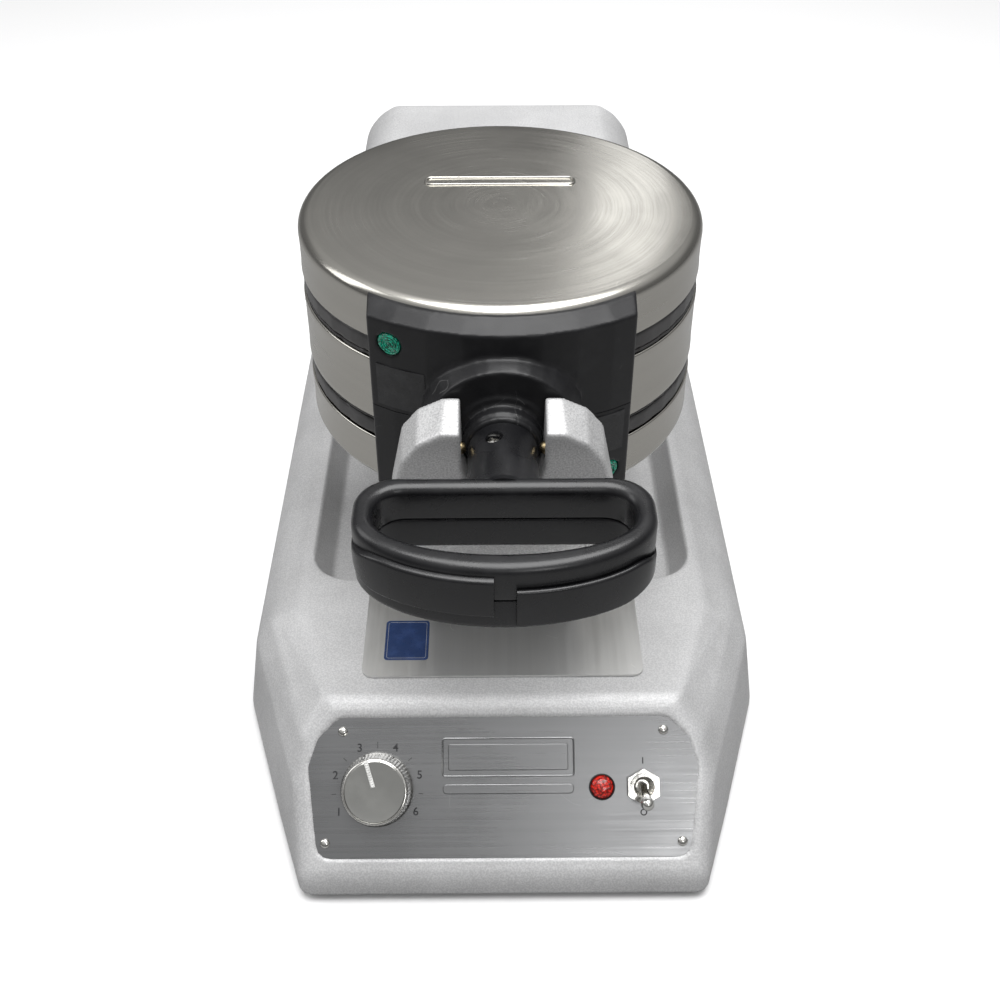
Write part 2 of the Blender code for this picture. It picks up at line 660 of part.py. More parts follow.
def make_fork():
    """Casting with a round-bottomed channel that carries the head's front neck.

    The upright part is a loft between its front and back outlines, and the leg below it
    leans back to a foot beside the basin."""
    sections = ((FORK_BACK_Y, FORK_BACK_TOP, 0.0245), (FORK_FRONT_Y, FORK_FRONT_TOP, 0.0260))
    bm = bmesh.new()
    rings = []
    for y, top, tip_half in sections:
        outer, inner = fork_outline(top, tip_half, 0.0142)
        right = outer + inner
        left = [(-x, z) for x, z in reversed(right[:-1])]
        rings.append([bm.verts.new((x, y, AXIS_Z + z)) for x, z in right + left])
    for ring in rings:
        bm.faces.new(ring)
    for i in range(len(rings[0])):
        j = (i + 1) % len(rings[0])
        bm.faces.new((rings[0][i], rings[0][j], rings[1][j], rings[1][i]))
    fork = from_bmesh("fork", bm)
    leg = [(FORK_HALF_WIDTH, y, AXIS_Z - FORK_UPRIGHT) for y in (FORK_BACK_Y, FORK_FRONT_Y)]
    leg += [(FORK_FOOT_HALF_WIDTH, y, DECK_Z + GAP) for y in (FORK_FOOT_BACK_Y, FORK_FOOT_FRONT_Y)]
    fork = cut(fork, box("below_upright", (-0.1, -0.3, 0.0), (0.1, 0.0, AXIS_Z - FORK_UPRIGHT)))
    fork = join(fork, hull("leg", both_sides(leg)))
    for side in (-1, 1):
        x = side * FORK_SCREW_X
        hole = rod("tapped_hole", 0.0025, (x, FORK_SCREW_Y, DECK_Z - 0.005),
                   (x, FORK_SCREW_Y, DECK_Z + 0.016), 12)
        pad_hole = rod("pad_hole", PAD_RADIUS + GAP, (side * 0.010, PAD_Y, PAD_Z),
                       (side * PAD_OUTER_X, PAD_Y, PAD_Z))
        fork = cut(fork, hole, pad_hole)
    return finish(fork, PAINT)


def make_fork_hardware():
    """Round brass-edged pads beside the neck, and the screws that hold the fork down."""
    for side, word in ((-1, "left"), (1, "right")):
        inner = side * (NECK_RADIUS + 0.0006)
        pad = cone(f"fork_pad_{word}", PAD_RADIUS * 0.6, PAD_RADIUS, (inner, PAD_Y, PAD_Z),
                   (inner + side * 0.0022, PAD_Y, PAD_Z))
        shank = rod("shank", PAD_RADIUS, (inner + side * 0.0020, PAD_Y, PAD_Z),
                    (side * (PAD_OUTER_X - GAP), PAD_Y, PAD_Z))
        finish(join(pad, shank), BRASS)
        x = side * FORK_SCREW_X
        shaft = rod(f"fork_screw_{word}", 0.0022, (x, FORK_SCREW_Y, DECK_Z - 0.0140),
                    (x, FORK_SCREW_Y, DECK_Z + 0.0150), 12)
        head = rod("head", 0.0045, (x, FORK_SCREW_Y, DECK_Z - 0.0160),
                   (x, FORK_SCREW_Y, DECK_Z - 0.0120 - GAP), 12)
        finish(join(shaft, head), STEEL)


def make_drip_tray(pivot):
    """Loose stainless sheet on the deck, with a slot open to the rear that clears the fork."""
    half = [(0.0, TRAY_FRONT_Y)]
    corner = arc(0.005, -90, 0, 3, (TRAY_HALF_WIDTH - 0.005, TRAY_FRONT_Y + 0.005))
    outline = [(-x, y) for x, y in reversed(corner)] + half + corner
    slot = FORK_FOOT_HALF_WIDTH + 0.0015
    rear = TRAY_FRONT_Y + TRAY_LENGTH
    slot_front = FORK_FOOT_FRONT_Y - 0.0020
    outline += [(TRAY_HALF_WIDTH, rear), (slot, rear), (slot, slot_front), (-slot, slot_front),
                (-slot, rear), (-TRAY_HALF_WIDTH, rear)]
    tray = prism("drip_tray", outline, DECK_Z + GAP, DECK_Z + GAP + TRAY_THICKNESS)
    return finish(tray, STEEL, pivot)


def make_rear_bearing():
    """Plain bush in the tower's front wall."""
    bore = SHAFT_RADIUS + RUNNING_GAP
    outer = SHAFT_RADIUS + BUSH_WALL
    front = TOWER_FRONT_Y - GAP
    bush = rod("rear_bush", outer, (0, front, AXIS_Z), (0, TOWER_FRONT_Y + 0.016, AXIS_Z))
    flange = rod("flange", outer + 0.0025, (0, front - 0.0025, AXIS_Z), (0, front, AXIS_Z))
    bush = join(bush, flange)
    bush = cut(bush, rod("bore", bore, (0, front - 0.01, AXIS_Z), (0, front + 0.03, AXIS_Z)))
    return finish(bush, BRASS)


def make_cable_gland():
    """Strain-relief gland at the back; its nut sits inside the wall."""
    wall_y = BACK_Y - 0.0035
    gland = rod("cable_gland", GLAND_RADIUS, (GLAND_X, wall_y - 0.014, GLAND_Z),
                (GLAND_X, BACK_Y - 0.0006, GLAND_Z))
    bore = rod("bore", 0.0042, (GLAND_X, wall_y - 0.02, GLAND_Z), (GLAND_X, BACK_Y + 0.01, GLAND_Z))
    return finish(cut(gland, bore), BLACK)


def make_inner_electrics():
    terminal = box("terminal_block", (0.010, 0.150, BASE_Z + 0.0020), (0.062, 0.172, BASE_Z + 0.024))
    finish(terminal, BLACK)
    buzzer = rod("buzzer", 0.0115, (-0.012, FRONT_Y + 0.055, BASE_Z + 0.0020),
                 (-0.012, FRONT_Y + 0.055, BASE_Z + 0.0120))
    finish(buzzer, BLACK)


# ---------------------------------------------------------------- head
def head_turned(name, profile, sides=ROUND):
    """A turned piece about the head's upright middle line, heights measured from the axis."""
    return move(turned(name, profile, sides), AXIS_FRAME)


def make_cover():
    """Spun stainless lid cover: flat top, rounded shoulder and a straight wall."""
    top = HEAD_HALF_HEIGHT
    low = top - COVER_HEIGHT + GAP
    outer, r = HEAD_RADIUS, COVER_SHOULDER
    shoulder = [(x, z) for x, z in arc(r, 90, 0, 4, (outer - r, top - r))]
    inner_r = r - SHEET
    inside = [(x, z) for x, z in arc(inner_r, 0, 90, 3, (outer - r, top - r))]
    profile = [(0, top)] + shoulder + [(outer, low), (outer - SHEET, low)] + inside
    profile += [(0, top - SHEET)]
    return head_turned("upper_cover", profile)


def stud_points(x, y, top_z, base_z):
    points = []
    for half, z in ((STUD_BASE / 2, base_z), (STUD_TOP / 2, top_z)):
        points += [(x + sx * half, y + sy * half, z) for sx in (-1, 1) for sy in (-1, 1)]
    return points


def stud_places():
    """Grid places whose whole stud lies inside the round cavity."""
    places = []
    reach = PLATE_CAVITY_RADIUS - 0.004
    for i in range(-3, 3):
        for j in range(-3, 3):
            x = (i + 0.5) * STUD_PITCH
            y = (j + 0.5) * STUD_PITCH
            if math.hypot(abs(x) + STUD_BASE / 2, abs(y) + STUD_BASE / 2) < reach:
                places.append((x, y))
    return places


def grid_plate(name, rim_back, facing):
    """A cast waffle plate with a field of tapered studs.

    Its rim runs from the parting plane back to rim_back; facing is -1 when the studs point
    down (a lid's plate) and +1 when they point up (the middle unit's plate)."""
    mouth = PARTING - facing * GAP / 2
    floor = mouth - facing * PLATE_CAVITY
    behind = floor - facing * PLATE_FLOOR
    outer = HEAD_RADIUS - 0.0004
    inner = PLATE_CAVITY_RADIUS
    pan = inner + 0.0028
    profile = [(0, floor), (inner - 0.003, floor), (inner, mouth), (outer, mouth)]
    profile += [(outer, rim_back), (pan, rim_back), (pan - 0.003, behind), (0, behind)]
    if facing < 0:
        profile.reverse()
    plate = turned(name, profile)
    for x, y in stud_places():
        points = stud_points(x, y, floor + facing * STUD_HEIGHT, floor - facing * 0.001)
        plate = join(plate, hull("stud", points))
    return move(plate, AXIS_FRAME)


def make_lid_plate():
    return grid_plate("upper_plate", HEAD_HALF_HEIGHT - COVER_HEIGHT, -1)


def make_middle_plate():
    return grid_plate("middle_plate_upper", BAND_HALF_HEIGHT + GAP, 1)


def heater(name, z, radius, ring=0.060):
    """Sheathed heating element: an open ring whose two ends turn to the rear."""
    curve = bpy.data.curves.new(name, "CURVE")
    curve.dimensions = "3D"
    curve.bevel_depth = radius
    curve.bevel_resolution = 1
    curve.use_fill_caps = True
    points = arc(ring, 110, 430, 20)
    points = [(points[0][0], 0.074)] + points + [(points[-1][0], 0.074)]
    line = curve.splines.new("POLY")
    line.points.add(len(points) - 1)
    for point, (x, y) in zip(line.points, points):
        point.co = (x, y, z, 1)
    obj = bpy.data.objects.new(name, curve)
    parts_collection().objects.link(obj)
    obj.matrix_world = AXIS_FRAME
    return settle(obj)


def make_middle_band():
    z = BAND_HALF_HEIGHT
    outer, inner = HEAD_RADIUS, HEAD_RADIUS - SHEET
    return head_turned("middle_band", [(outer, z), (outer, -z), (inner, -z), (inner, z)])


def head_cylinder(name, radius, low, high):
    centre = Vector((0, HEAD_Y, AXIS_Z))
    return rod(name, radius, centre + Vector((0, 0, low)), centre + Vector((0, 0, high)), ROUND)


def y_rod(name, radius, y_a, y_b, sides=SMALL_ROUND, x=0.0, z=AXIS_Z):
    return rod(name, radius, (x, y_a, z), (x, y_b, z), sides)


def make_hinge_bracket():
    """Steel block on the back of the middle band, with lugs that hold both hinge pins."""
    half, leaf = HINGE_HALF_WIDTH, HINGE_LEAF
    back = HINGE_Y - 0.0045
    block = box("hinge_bracket", (-half, HINGE_Y - 0.026, AXIS_Z - BAND_HALF_HEIGHT + 0.002),
                (half, back, AXIS_Z + BAND_HALF_HEIGHT - 0.002))
    for side in (-1, 1):
        x_a, x_b = sorted((side * (half - leaf), side * half))
        lug = box("lug", (x_a, HINGE_Y - 0.010, AXIS_Z - PARTING - 0.005),
                  (x_b, HINGE_Y + 0.005, AXIS_Z + PARTING + 0.005))
        block = join(block, lug)
    block = cut(block, head_cylinder("head_space", HEAD_RADIUS + GAP, -0.05, 0.05))
    for side in (-1, 1):
        z = AXIS_Z + side * PARTING
        pin_hole = rod("pin_hole", HINGE_PIN_RADIUS + RUNNING_GAP, (-half - 0.01, HINGE_Y, z),
                       (half + 0.01, HINGE_Y, z), 16)
        block = cut(block, pin_hole)
    return block


def make_hinge_arm():
    """The lid's half of the hinge: a plate on the cover's back with two knuckles."""
    z_low, z_high = AXIS_Z + PARTING + 0.0105, AXIS_Z + PARTING + 0.0240
    knuckle_half = HINGE_HALF_WIDTH - HINGE_LEAF - 0.0006
    arm = box("upper_hinge_arm", (-knuckle_half, HINGE_Y - 0.026, z_low),
              (knuckle_half, HINGE_Y - 0.0030, z_high))
    z = AXIS_Z + PARTING
    for side in (-1, 1):
        x_a, x_b = side * knuckle_half, side * (knuckle_half - 0.010)
        knuckle = rod("knuckle", 0.0052, (x_a, HINGE_Y, z), (x_b, HINGE_Y, z), 16)
        x_low, x_high = sorted((x_a, x_b))
        neck = box("neck", (x_low, HINGE_Y - 0.0052, z), (x_high, HINGE_Y + 0.001, z_low + 0.002))
        arm = join(arm, knuckle, neck)
    arm = cut(arm, head_cylinder("cover_space", HEAD_RADIUS + GAP, -0.05, 0.08))
    hole = rod("pin_hole", HINGE_PIN_RADIUS + RUNNING_GAP, (-0.06, HINGE_Y, z),
               (0.06, HINGE_Y, z), 16)
    return cut(arm, hole)


def make_hinge_pin():
    z = AXIS_Z + PARTING
    half = HINGE_HALF_WIDTH + 0.002
    return rod("upper_hinge_pin", HINGE_PIN_RADIUS, (-half, HINGE_Y, z), (half, HINGE_Y, z), 16)


def half_space(name):
    """Everything below the plane that splits the two brackets and handles."""
    return box(name, (-0.2, -0.4, AXIS_Z - 0.2), (0.2, 0.2, AXIS_Z + GAP / 2))


def make_bracket():
    """Upper front bracket: a curved plate with the boss and the stepped half collar."""
    profile = [(0, BRACKET_REAR_HEIGHT), (HEAD_RADIUS, BRACKET_REAR_HEIGHT)]
    profile += [(BRACKET_RADIUS, BRACKET_HEIGHT), (BRACKET_RADIUS, -0.004), (0, -0.004)]
    body = head_turned("upper_bracket", profile)
    keep = box("keep", (-BRACKET_HALF_WIDTH, BRACKET_FACE_Y - 0.0145, AXIS_Z),
               (BRACKET_HALF_WIDTH, HEAD_Y - 0.07, AXIS_Z + 0.06))
    body = combine(body, keep, "INTERSECT")
    boss = cone("boss", BOSS_ROOT_RADIUS, BOSS_RADIUS, (0, BRACKET_FACE_Y + 0.004, AXIS_Z),
                (0, BOSS_FACE_Y, AXIS_Z), 36)
    face_ring = y_rod("face_ring", FACE_RING_RADIUS, BOSS_FACE_Y + 0.002,
                      BOSS_FACE_Y - FACE_RING_REACH, 36)
    collar = y_rod("collar", COLLAR_RADIUS, BOSS_FACE_Y + 0.003, COLLAR_STEP_Y, 36)
    step = y_rod("step", COLLAR_STEP_RADIUS, COLLAR_STEP_Y + 0.001, COLLAR_END_Y, 36)
    tenon = y_rod("tenon", TENON_RADIUS, COLLAR_END_Y + 0.001, TENON_END_Y, 16)
    body = join(body, boss, face_ring, collar, step, tenon)
    body = cut(body, head_cylinder("head_space", HEAD_RADIUS + GAP, -0.01, 0.08))
    screw_hole = rod("screw_hole", 0.0016, (SCREW_X, SCREW_Y, AXIS_Z - 0.001),
                     (SCREW_X, SCREW_Y, AXIS_Z + 0.02), 12)
    lens_hole = y_rod("lens_hole", LENS_RADIUS + GAP, BRACKET_FACE_Y - 0.0145, HEAD_Y - 0.08,
                      SMALL_ROUND, LENS_X, LENS_Z)
    return cut(body, half_space("below"), screw_hole, lens_hole)


def make_lens():
    """Round ready-light lens, flush with the bracket's curved face."""
    lens = y_rod("upper_ready_lens", LENS_RADIUS, BRACKET_FACE_Y - 0.0145, LENS_BACK_Y,
                 SMALL_ROUND, LENS_X, LENS_Z)
    keep = head_cylinder("keep", BRACKET_RADIUS - 0.0002, -0.02, 0.07)
    return combine(lens, keep, "INTERSECT")


def grip_half_outline(inset=0.0):
    """Right half of the D-shaped grip seen from above: flat at the back, bowed at the front."""
    half = HANDLE_HALF_WIDTH - inset
    back = HANDLE_BACK_Y - inset
    front = HANDLE_FRONT_Y + inset * HANDLE_FRONT_SHARE
    side_y = HANDLE_BACK_Y - 0.0235
    corner = max(0.0165 - inset * 0.6, 0.004)
    points = [(0.0, back)]
    points += [(x, y) for x, y in arc(corner, 90, 0, 5, (half - corner, back - corner))]
    for i in range(1, 9):
        angle = math.pi / 2 * i / 8
        points.append((half * math.cos(angle), side_y - (side_y - front) * math.sin(angle)))
    return points


def grip_outline(inset=0.0):
    half = grip_half_outline(inset)
    return half + [(-x, y) for x, y in reversed(half[1:-1])]


def make_handle():
    """Upper grip: a D-shaped loop with a half-round neck and a lip over one side of the joint."""
    low, high = AXIS_Z + GAP / 2, AXIS_Z + HANDLE_HEIGHT
    loop = prism("upper_handle", grip_outline(), low, high)
    rounding = loop.modifiers.new("round", "BEVEL")
    rounding.width = HANDLE_ROUND
    rounding.segments = 2
    rounding.limit_method = "ANGLE"
    rounding.angle_limit = math.radians(60)
    loop = settle(loop)
    loop = cut(loop, prism("finger_space", grip_outline(HANDLE_BAR), AXIS_Z - 0.03, AXIS_Z + 0.03))
    lip = prism("lip", grip_outline(-SKIRT_CLEARANCE - SKIRT_THICKNESS), AXIS_Z - SKIRT_BELOW,
                AXIS_Z + SKIRT_ABOVE)
    lip = cut(lip, prism("inside", grip_outline(-SKIRT_CLEARANCE), AXIS_Z - 0.03, AXIS_Z + GAP))
    lip = cut(lip, prism("inside", grip_outline(0.003), AXIS_Z - 0.03, AXIS_Z + 0.03))
    lip = cut(lip, box("other_half", (-SKIRT_HALF_GAP, -0.3, 0.0), (0.1, 0.0, 0.3)))
    lip = cut(lip, box("back_half", (-0.1, HANDLE_BACK_Y - 0.026, 0.0), (0.1, 0.0, 0.3)))
    loop = join(loop, lip)
    neck = y_rod("neck", NECK_RADIUS, COLLAR_END_Y - GAP, HANDLE_BACK_Y - 0.003, 36)
    neck = cut(neck, half_space("below"))
    loop = join(loop, neck)
    socket = y_rod("socket", TENON_RADIUS + GAP, COLLAR_END_Y + 0.01, TENON_END_Y - GAP, 16)
    head_hole = rod("head_hole", 0.0034, (SCREW_X, SCREW_Y, AXIS_Z + 0.0105),
                    (SCREW_X, SCREW_Y, AXIS_Z + 0.02), 16)
    shank_hole = rod("shank_hole", 0.0019, (SCREW_X, SCREW_Y, AXIS_Z - 0.01),
                     (SCREW_X, SCREW_Y, AXIS_Z + 0.02), 12)
    return cut(loop, socket, head_hole, shank_hole)


def make_handle_screw():
    shank = rod("upper_handle_screw", 0.0013, (SCREW_X, SCREW_Y, AXIS_Z + 0.0008),
                (SCREW_X, SCREW_Y, AXIS_Z + 0.0112), 12)
    head = rod("head", 0.0030, (SCREW_X, SCREW_Y, AXIS_Z + 0.0108), (SCREW_X, SCREW_Y, AXIS_Z + 0.0128), 16)
    return join(shank, head)


def make_rear_shaft(pivot):
    """Hollow shaft that turns in the tower's bush, with its mounting flange and end collar."""
    start = HINGE_Y - 0.0045 + GAP
    end = TOWER_FRONT_Y + 0.034
    shaft = y_rod("rear_shaft", SHAFT_RADIUS, start, end)
    flange = y_rod("flange", 0.0160, start, start + 0.0030)
    shaft = join(shaft, flange)
    shaft = cut(shaft, y_rod("wire_bore", SHAFT_BORE, start - 0.01, end + 0.01))
    finish(shaft, STEEL, pivot)
    collar_y = TOWER_FRONT_Y + 0.0175
    collar = y_rod("shaft_collar", SHAFT_RADIUS + 0.0033, collar_y, collar_y + 0.006)
    collar = cut(collar, y_rod("bore", SHAFT_RADIUS + 0.0001, collar_y - 0.01, collar_y + 0.02))
    finish(collar, STEEL, pivot)


def make_head(head_pivot, lid_pivot):
    """Everything that turns with the head; the upper lid's pieces also swing on its hinge."""
    finish(make_middle_band(), STEEL, head_pivot)
    middle = make_middle_plate()
    finish(turned_over(middle, "middle_plate_lower"), COATING, head_pivot)
    finish(middle, COATING, head_pivot)
    finish(heater("middle_heater", 0.0, 0.0021), STEEL, head_pivot)
    finish(make_hinge_bracket(), STEEL, head_pivot)
    pin = make_hinge_pin()
    finish(turned_over(pin, "lower_hinge_pin"), STEEL, head_pivot)
    finish(pin, STEEL, head_pivot)
    make_rear_shaft(head_pivot)
    heater_z = PARTING + PLATE_CAVITY + PLATE_FLOOR + 0.0042
    lid_pieces = ((make_cover(), STEEL), (make_lid_plate(), COATING),
                  (heater("upper_heater", heater_z, 0.0035), STEEL),
                  (make_hinge_arm(), STEEL), (make_bracket(), BLACK), (make_lens(), GREEN),
                  (make_handle(), BLACK), (make_handle_screw(), CHROME))
    for piece, look in lid_pieces:
        twin = turned_over(piece, piece.name.replace("upper", "lower"))
        finish(twin, look, head_pivot)
        finish(piece, look, lid_pivot)


def main():
    clear_scene()
    make_base_housing()
    make_base_plate()
    make_feet()
    make_control_plate()
    make_rivets()
    make_lamp()
    make_thermostat()
    make_knob(empty("knob_pivot", panel_point(KNOB_U, KNOB_V)))
    make_toggle(empty("toggle_pivot", panel_point(TOGGLE_U, TOGGLE_V, TOGGLE_PIVOT_N)))
    make_fork()
    make_fork_hardware()
    make_drip_tray(empty("drip_tray_slide", (0, TRAY_FRONT_Y, DECK_Z)))
    make_rear_bearing()
    make_cable_gland()
    make_inner_electrics()
    head_pivot = empty("head_pivot", (0, HEAD_Y, AXIS_Z))
    lid_pivot = empty("upper_lid_pivot", (0, HINGE_Y, AXIS_Z + PARTING))
    make_head(head_pivot, lid_pivot)


main()
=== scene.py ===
"""Looks of a rotary waffle maker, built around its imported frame. Metres, +Z up, -Y to the user."""

import json
import math

import bmesh
import bpy
from mathutils import Matrix, Vector

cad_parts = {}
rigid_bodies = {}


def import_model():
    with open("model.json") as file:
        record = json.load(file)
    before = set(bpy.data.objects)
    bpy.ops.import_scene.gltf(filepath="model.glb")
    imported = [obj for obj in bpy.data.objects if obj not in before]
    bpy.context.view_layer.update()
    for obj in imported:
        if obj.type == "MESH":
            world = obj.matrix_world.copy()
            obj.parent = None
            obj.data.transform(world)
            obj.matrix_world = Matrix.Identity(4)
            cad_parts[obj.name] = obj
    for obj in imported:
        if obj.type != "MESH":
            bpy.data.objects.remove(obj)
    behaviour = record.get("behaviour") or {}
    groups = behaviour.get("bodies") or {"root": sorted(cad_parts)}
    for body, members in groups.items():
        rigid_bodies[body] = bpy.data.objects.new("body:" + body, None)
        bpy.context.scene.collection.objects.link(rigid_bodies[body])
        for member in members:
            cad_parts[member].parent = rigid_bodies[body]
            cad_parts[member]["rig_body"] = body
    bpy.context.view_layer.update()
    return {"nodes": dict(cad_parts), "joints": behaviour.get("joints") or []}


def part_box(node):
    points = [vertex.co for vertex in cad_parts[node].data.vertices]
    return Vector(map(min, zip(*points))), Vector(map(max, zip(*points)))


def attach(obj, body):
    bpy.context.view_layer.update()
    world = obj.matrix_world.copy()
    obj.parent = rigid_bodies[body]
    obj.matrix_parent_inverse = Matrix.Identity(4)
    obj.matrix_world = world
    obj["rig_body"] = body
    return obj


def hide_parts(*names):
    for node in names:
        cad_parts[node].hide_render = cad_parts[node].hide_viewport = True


bl_info = {
    "name": "Rotary Waffle Maker",
    "version": (1, 0, 0),
    "blender": (4, 5, 0),
    "location": "View3D > Sidebar > Waffle Maker",
    "description": "Builds the castings, covers, grips, controls and finishes of a waffle maker",
    "category": "Object",
}

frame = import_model()
JOINTS = {joint["name"]: joint for joint in frame["joints"]}

# ---------------------------------------------------------------- places read from the frame
HEAD = Vector(JOINTS["head_rotate"]["pos_m"])
KNOB = Vector(JOINTS["knob_turn"]["pos_m"])
TOGGLE = Vector(JOINTS["toggle_rock"]["pos_m"])
PANEL_NORMAL = -Vector(JOINTS["knob_turn"]["axis"])
PANEL_UP = PANEL_NORMAL.cross(Vector((1, 0, 0)))
HEAD_FRAME = Matrix.Translation(HEAD)
TURNED_OVER = HEAD_FRAME @ Matrix.Rotation(math.pi, 4, "Y") @ HEAD_FRAME.inverted()


def box_of(node):
    low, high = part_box(node)
    return low, high, (low + high) / 2


def panel_frame(point):
    """Axes of the control panel at a point on it: X across, Y up its slope, Z outwards."""
    rows = Matrix((Vector((1, 0, 0)), PANEL_UP, PANEL_NORMAL)).transposed().to_4x4()
    return Matrix.Translation(point) @ rows


COVER_LOW, COVER_HIGH, _ = box_of("upper_cover")
HEAD_RADIUS = (COVER_HIGH.x - COVER_LOW.x) / 2
COVER_TOP = COVER_HIGH.z - HEAD.z
COVER_RIM = COVER_LOW.z - HEAD.z
BAND_HALF = box_of("middle_band")[1].z - HEAD.z
BRACKET_REACH = max(math.hypot(v.co.x, v.co.y - HEAD.y)
                    for v in frame["nodes"]["upper_bracket"].data.vertices if abs(v.co.x) > 0.045)
TRAY_LOW, TRAY_HIGH, _ = box_of("drip_tray")


# ---------------------------------------------------------------- settings
def metres(label, description, default, low=0.0, high=1.0):
    return bpy.props.FloatProperty(name=label, description=description, default=default, min=low,
                                   max=high, subtype="DISTANCE", unit="LENGTH", precision=4)


def share(label, description, default):
    return bpy.props.FloatProperty(name=label, description=description, default=default, min=0.0,
                                   max=1.0, subtype="FACTOR")


def colour(label, description, default):
    return bpy.props.FloatVectorProperty(name=label, description=description, default=default,
                                         size=3, min=0.0, max=1.0, subtype="COLOR")


class CastingSettings(bpy.types.PropertyGroup):
    """How soft the sand castings are and how their paint looks."""
    voxel: metres("Casting Detail", "Size of the cells that the castings are rounded with", 0.0013,
                  0.0006, 0.004)
    fork_voxel: metres("Fork Detail", "Size of the cells that the fork is rounded with", 0.0009,
                       0.0005, 0.004)
    rounds: bpy.props.IntProperty(name="Softening", description="Smoothing passes on each casting",
                                  default=1, min=1, max=40)
    fork_rounds: bpy.props.IntProperty(name="Fork Softening", default=11, min=1, max=40,
                                       description="Smoothing passes on the fork")
    paint: colour("Paint", "Silver paint on the castings", (0.60, 0.60, 0.60))
    paint_dark: colour("Paint Grain", "Darker grains in the paint", (0.48, 0.48, 0.485))
    roughness: share("Paint Roughness", "How matt the paint is", 0.46)


class HeadSettings(bpy.types.PropertyGroup):
    """Sizes and colours of the round head."""
    shoulder: metres("Cover Shoulder", "Radius where a cover's top turns into its wall", 0.0056,
                     0.001, 0.02)
    crown: metres("Cover Crown", "How much a cover's top bulges", 0.0010, 0.0, 0.004)
    steel: colour("Stainless", "Stainless steel of covers and band", (0.52, 0.505, 0.465))
    steel_roughness: share("Stainless Roughness", "How matt the covers are", 0.20)
    bracket: colour("Bracket", "Satin black paint of the front brackets", (0.011, 0.011, 0.012))
    coating: colour("Coating", "Nonstick coating of the plates", (0.035, 0.034, 0.034))


class GripSettings(bpy.types.PropertyGroup):
    """Sizes of the two grips and how their plastic looks."""
    half_width: metres("Half Width", "Half the width of the D-shaped loop", 0.0590, 0.02, 0.1)
    depth: metres("Depth", "Front to back of the loop", 0.0556, 0.02, 0.1)
    side_drop: metres("Side", "From the flat back to the loop's widest place", 0.0235, 0.01, 0.05)
    bar: metres("Bar", "Thickness of the loop's bar", 0.0085, 0.004, 0.02)
    front_share: bpy.props.FloatProperty(name="Front Share", default=1.25, min=0.5, max=2.0,
                                         description="Front bar's thickness against the others")
    corner: metres("Rear Corner", "Radius of the loop's rear corners", 0.0165, 0.004, 0.04)
    top_round: metres("Top Rounding", "Radius of the loop's upper edges", 0.0040, 0.0005, 0.01)
    lip_gap: metres("Lip Gap", "Air between the lip and the other grip", 0.0006, 0.0, 0.003)
    lip: metres("Lip", "Thickness of the lip", 0.0020, 0.0005, 0.006)
    lip_above: metres("Lip Above", "Lip's height over the joint", 0.0120, 0.001, 0.02)
    lip_below: metres("Lip Below", "Lip's reach past the joint", 0.0065, 0.001, 0.02)
    notch: metres("Notch", "Half the gap between the two lips", 0.0042, 0.0, 0.02)
    neck_radius: metres("Neck Radius", "Radius of the grip's neck", 0.0150, 0.005, 0.03)
    plastic: colour("Plastic", "Black moulded plastic", (0.008, 0.008, 0.009))
    plastic_roughness: share("Plastic Roughness", "How matt the plastic is", 0.26)


class ControlSettings(bpy.types.PropertyGroup):
    """Sizes and colours of the control panel."""
    knob_height: metres("Knob Up the Panel", "Knob's middle above the panel's foot", 0.0410, 0, 0.1)
    scale_radius: metres("Scale Radius", "Radius of the numbers round the knob", 0.0206, 0.01, 0.04)
    digit_size: metres("Digit Size", "Height of the numbers", 0.0037, 0.001, 0.01)
    digits: bpy.props.IntProperty(name="Digits", description="Numbers round the knob", default=6,
                                  min=2, max=12)
    digit_step: bpy.props.FloatProperty(name="Digit Step", description="Angle between two numbers",
                                        default=math.radians(48), subtype="ANGLE", unit="ROTATION")
    pointer: bpy.props.FloatProperty(name="Pointer", description="Where the knob's pointer stands",
                                     default=math.radians(17), subtype="ANGLE", unit="ROTATION")
    knurls: bpy.props.IntProperty(name="Knurls", description="Ridges round the knob", default=60,
                                  min=12, max=120)
    ink: colour("Ink", "Printed numbers and marks", (0.012, 0.012, 0.014))
    plate: colour("Plate", "Brushed steel of the control plate", (0.27, 0.272, 0.275))
    lamp: colour("Lamp", "Red lens of the pilot lamp", (0.50, 0.014, 0.006))
    ready_lamp: colour("Ready Lamp", "Green lens of the ready lights", (0.004, 0.20, 0.125))


class StageSettings(bpy.types.PropertyGroup):
    """Camera and floor."""
    camera: bpy.props.FloatVectorProperty(name="Camera", description="Where the camera stands",
                                          size=3, default=(-0.0050, -0.5652, 0.5268),
                                          subtype="TRANSLATION", unit="LENGTH")
    pitch: bpy.props.FloatProperty(name="Pitch", description="How far the camera looks down",
                                   default=0.683, subtype="ANGLE", unit="ROTATION")
    yaw: bpy.props.FloatProperty(name="Yaw", description="How far the camera turns to the side",
                                 default=math.radians(-0.5), subtype="ANGLE", unit="ROTATION")
    lens: bpy.props.FloatProperty(name="Lens", description="Focal length on a 36 mm sensor",
                                  default=46.35, unit="CAMERA")
    floor: colour("Floor", "Pale floor", (0.93, 0.93, 0.93))


# ---------------------------------------------------------------- mesh tools
def in_scene(name, mesh):
    obj = bpy.data.objects.new(name, mesh)
    bpy.context.scene.collection.objects.link(obj)
    return obj


def from_bmesh(name, bm):
    bmesh.ops.recalc_face_normals(bm, faces=bm.faces)
    mesh = bpy.data.meshes.new(name)
    bm.to_mesh(mesh)
    bm.free()
    return in_scene(name, mesh)


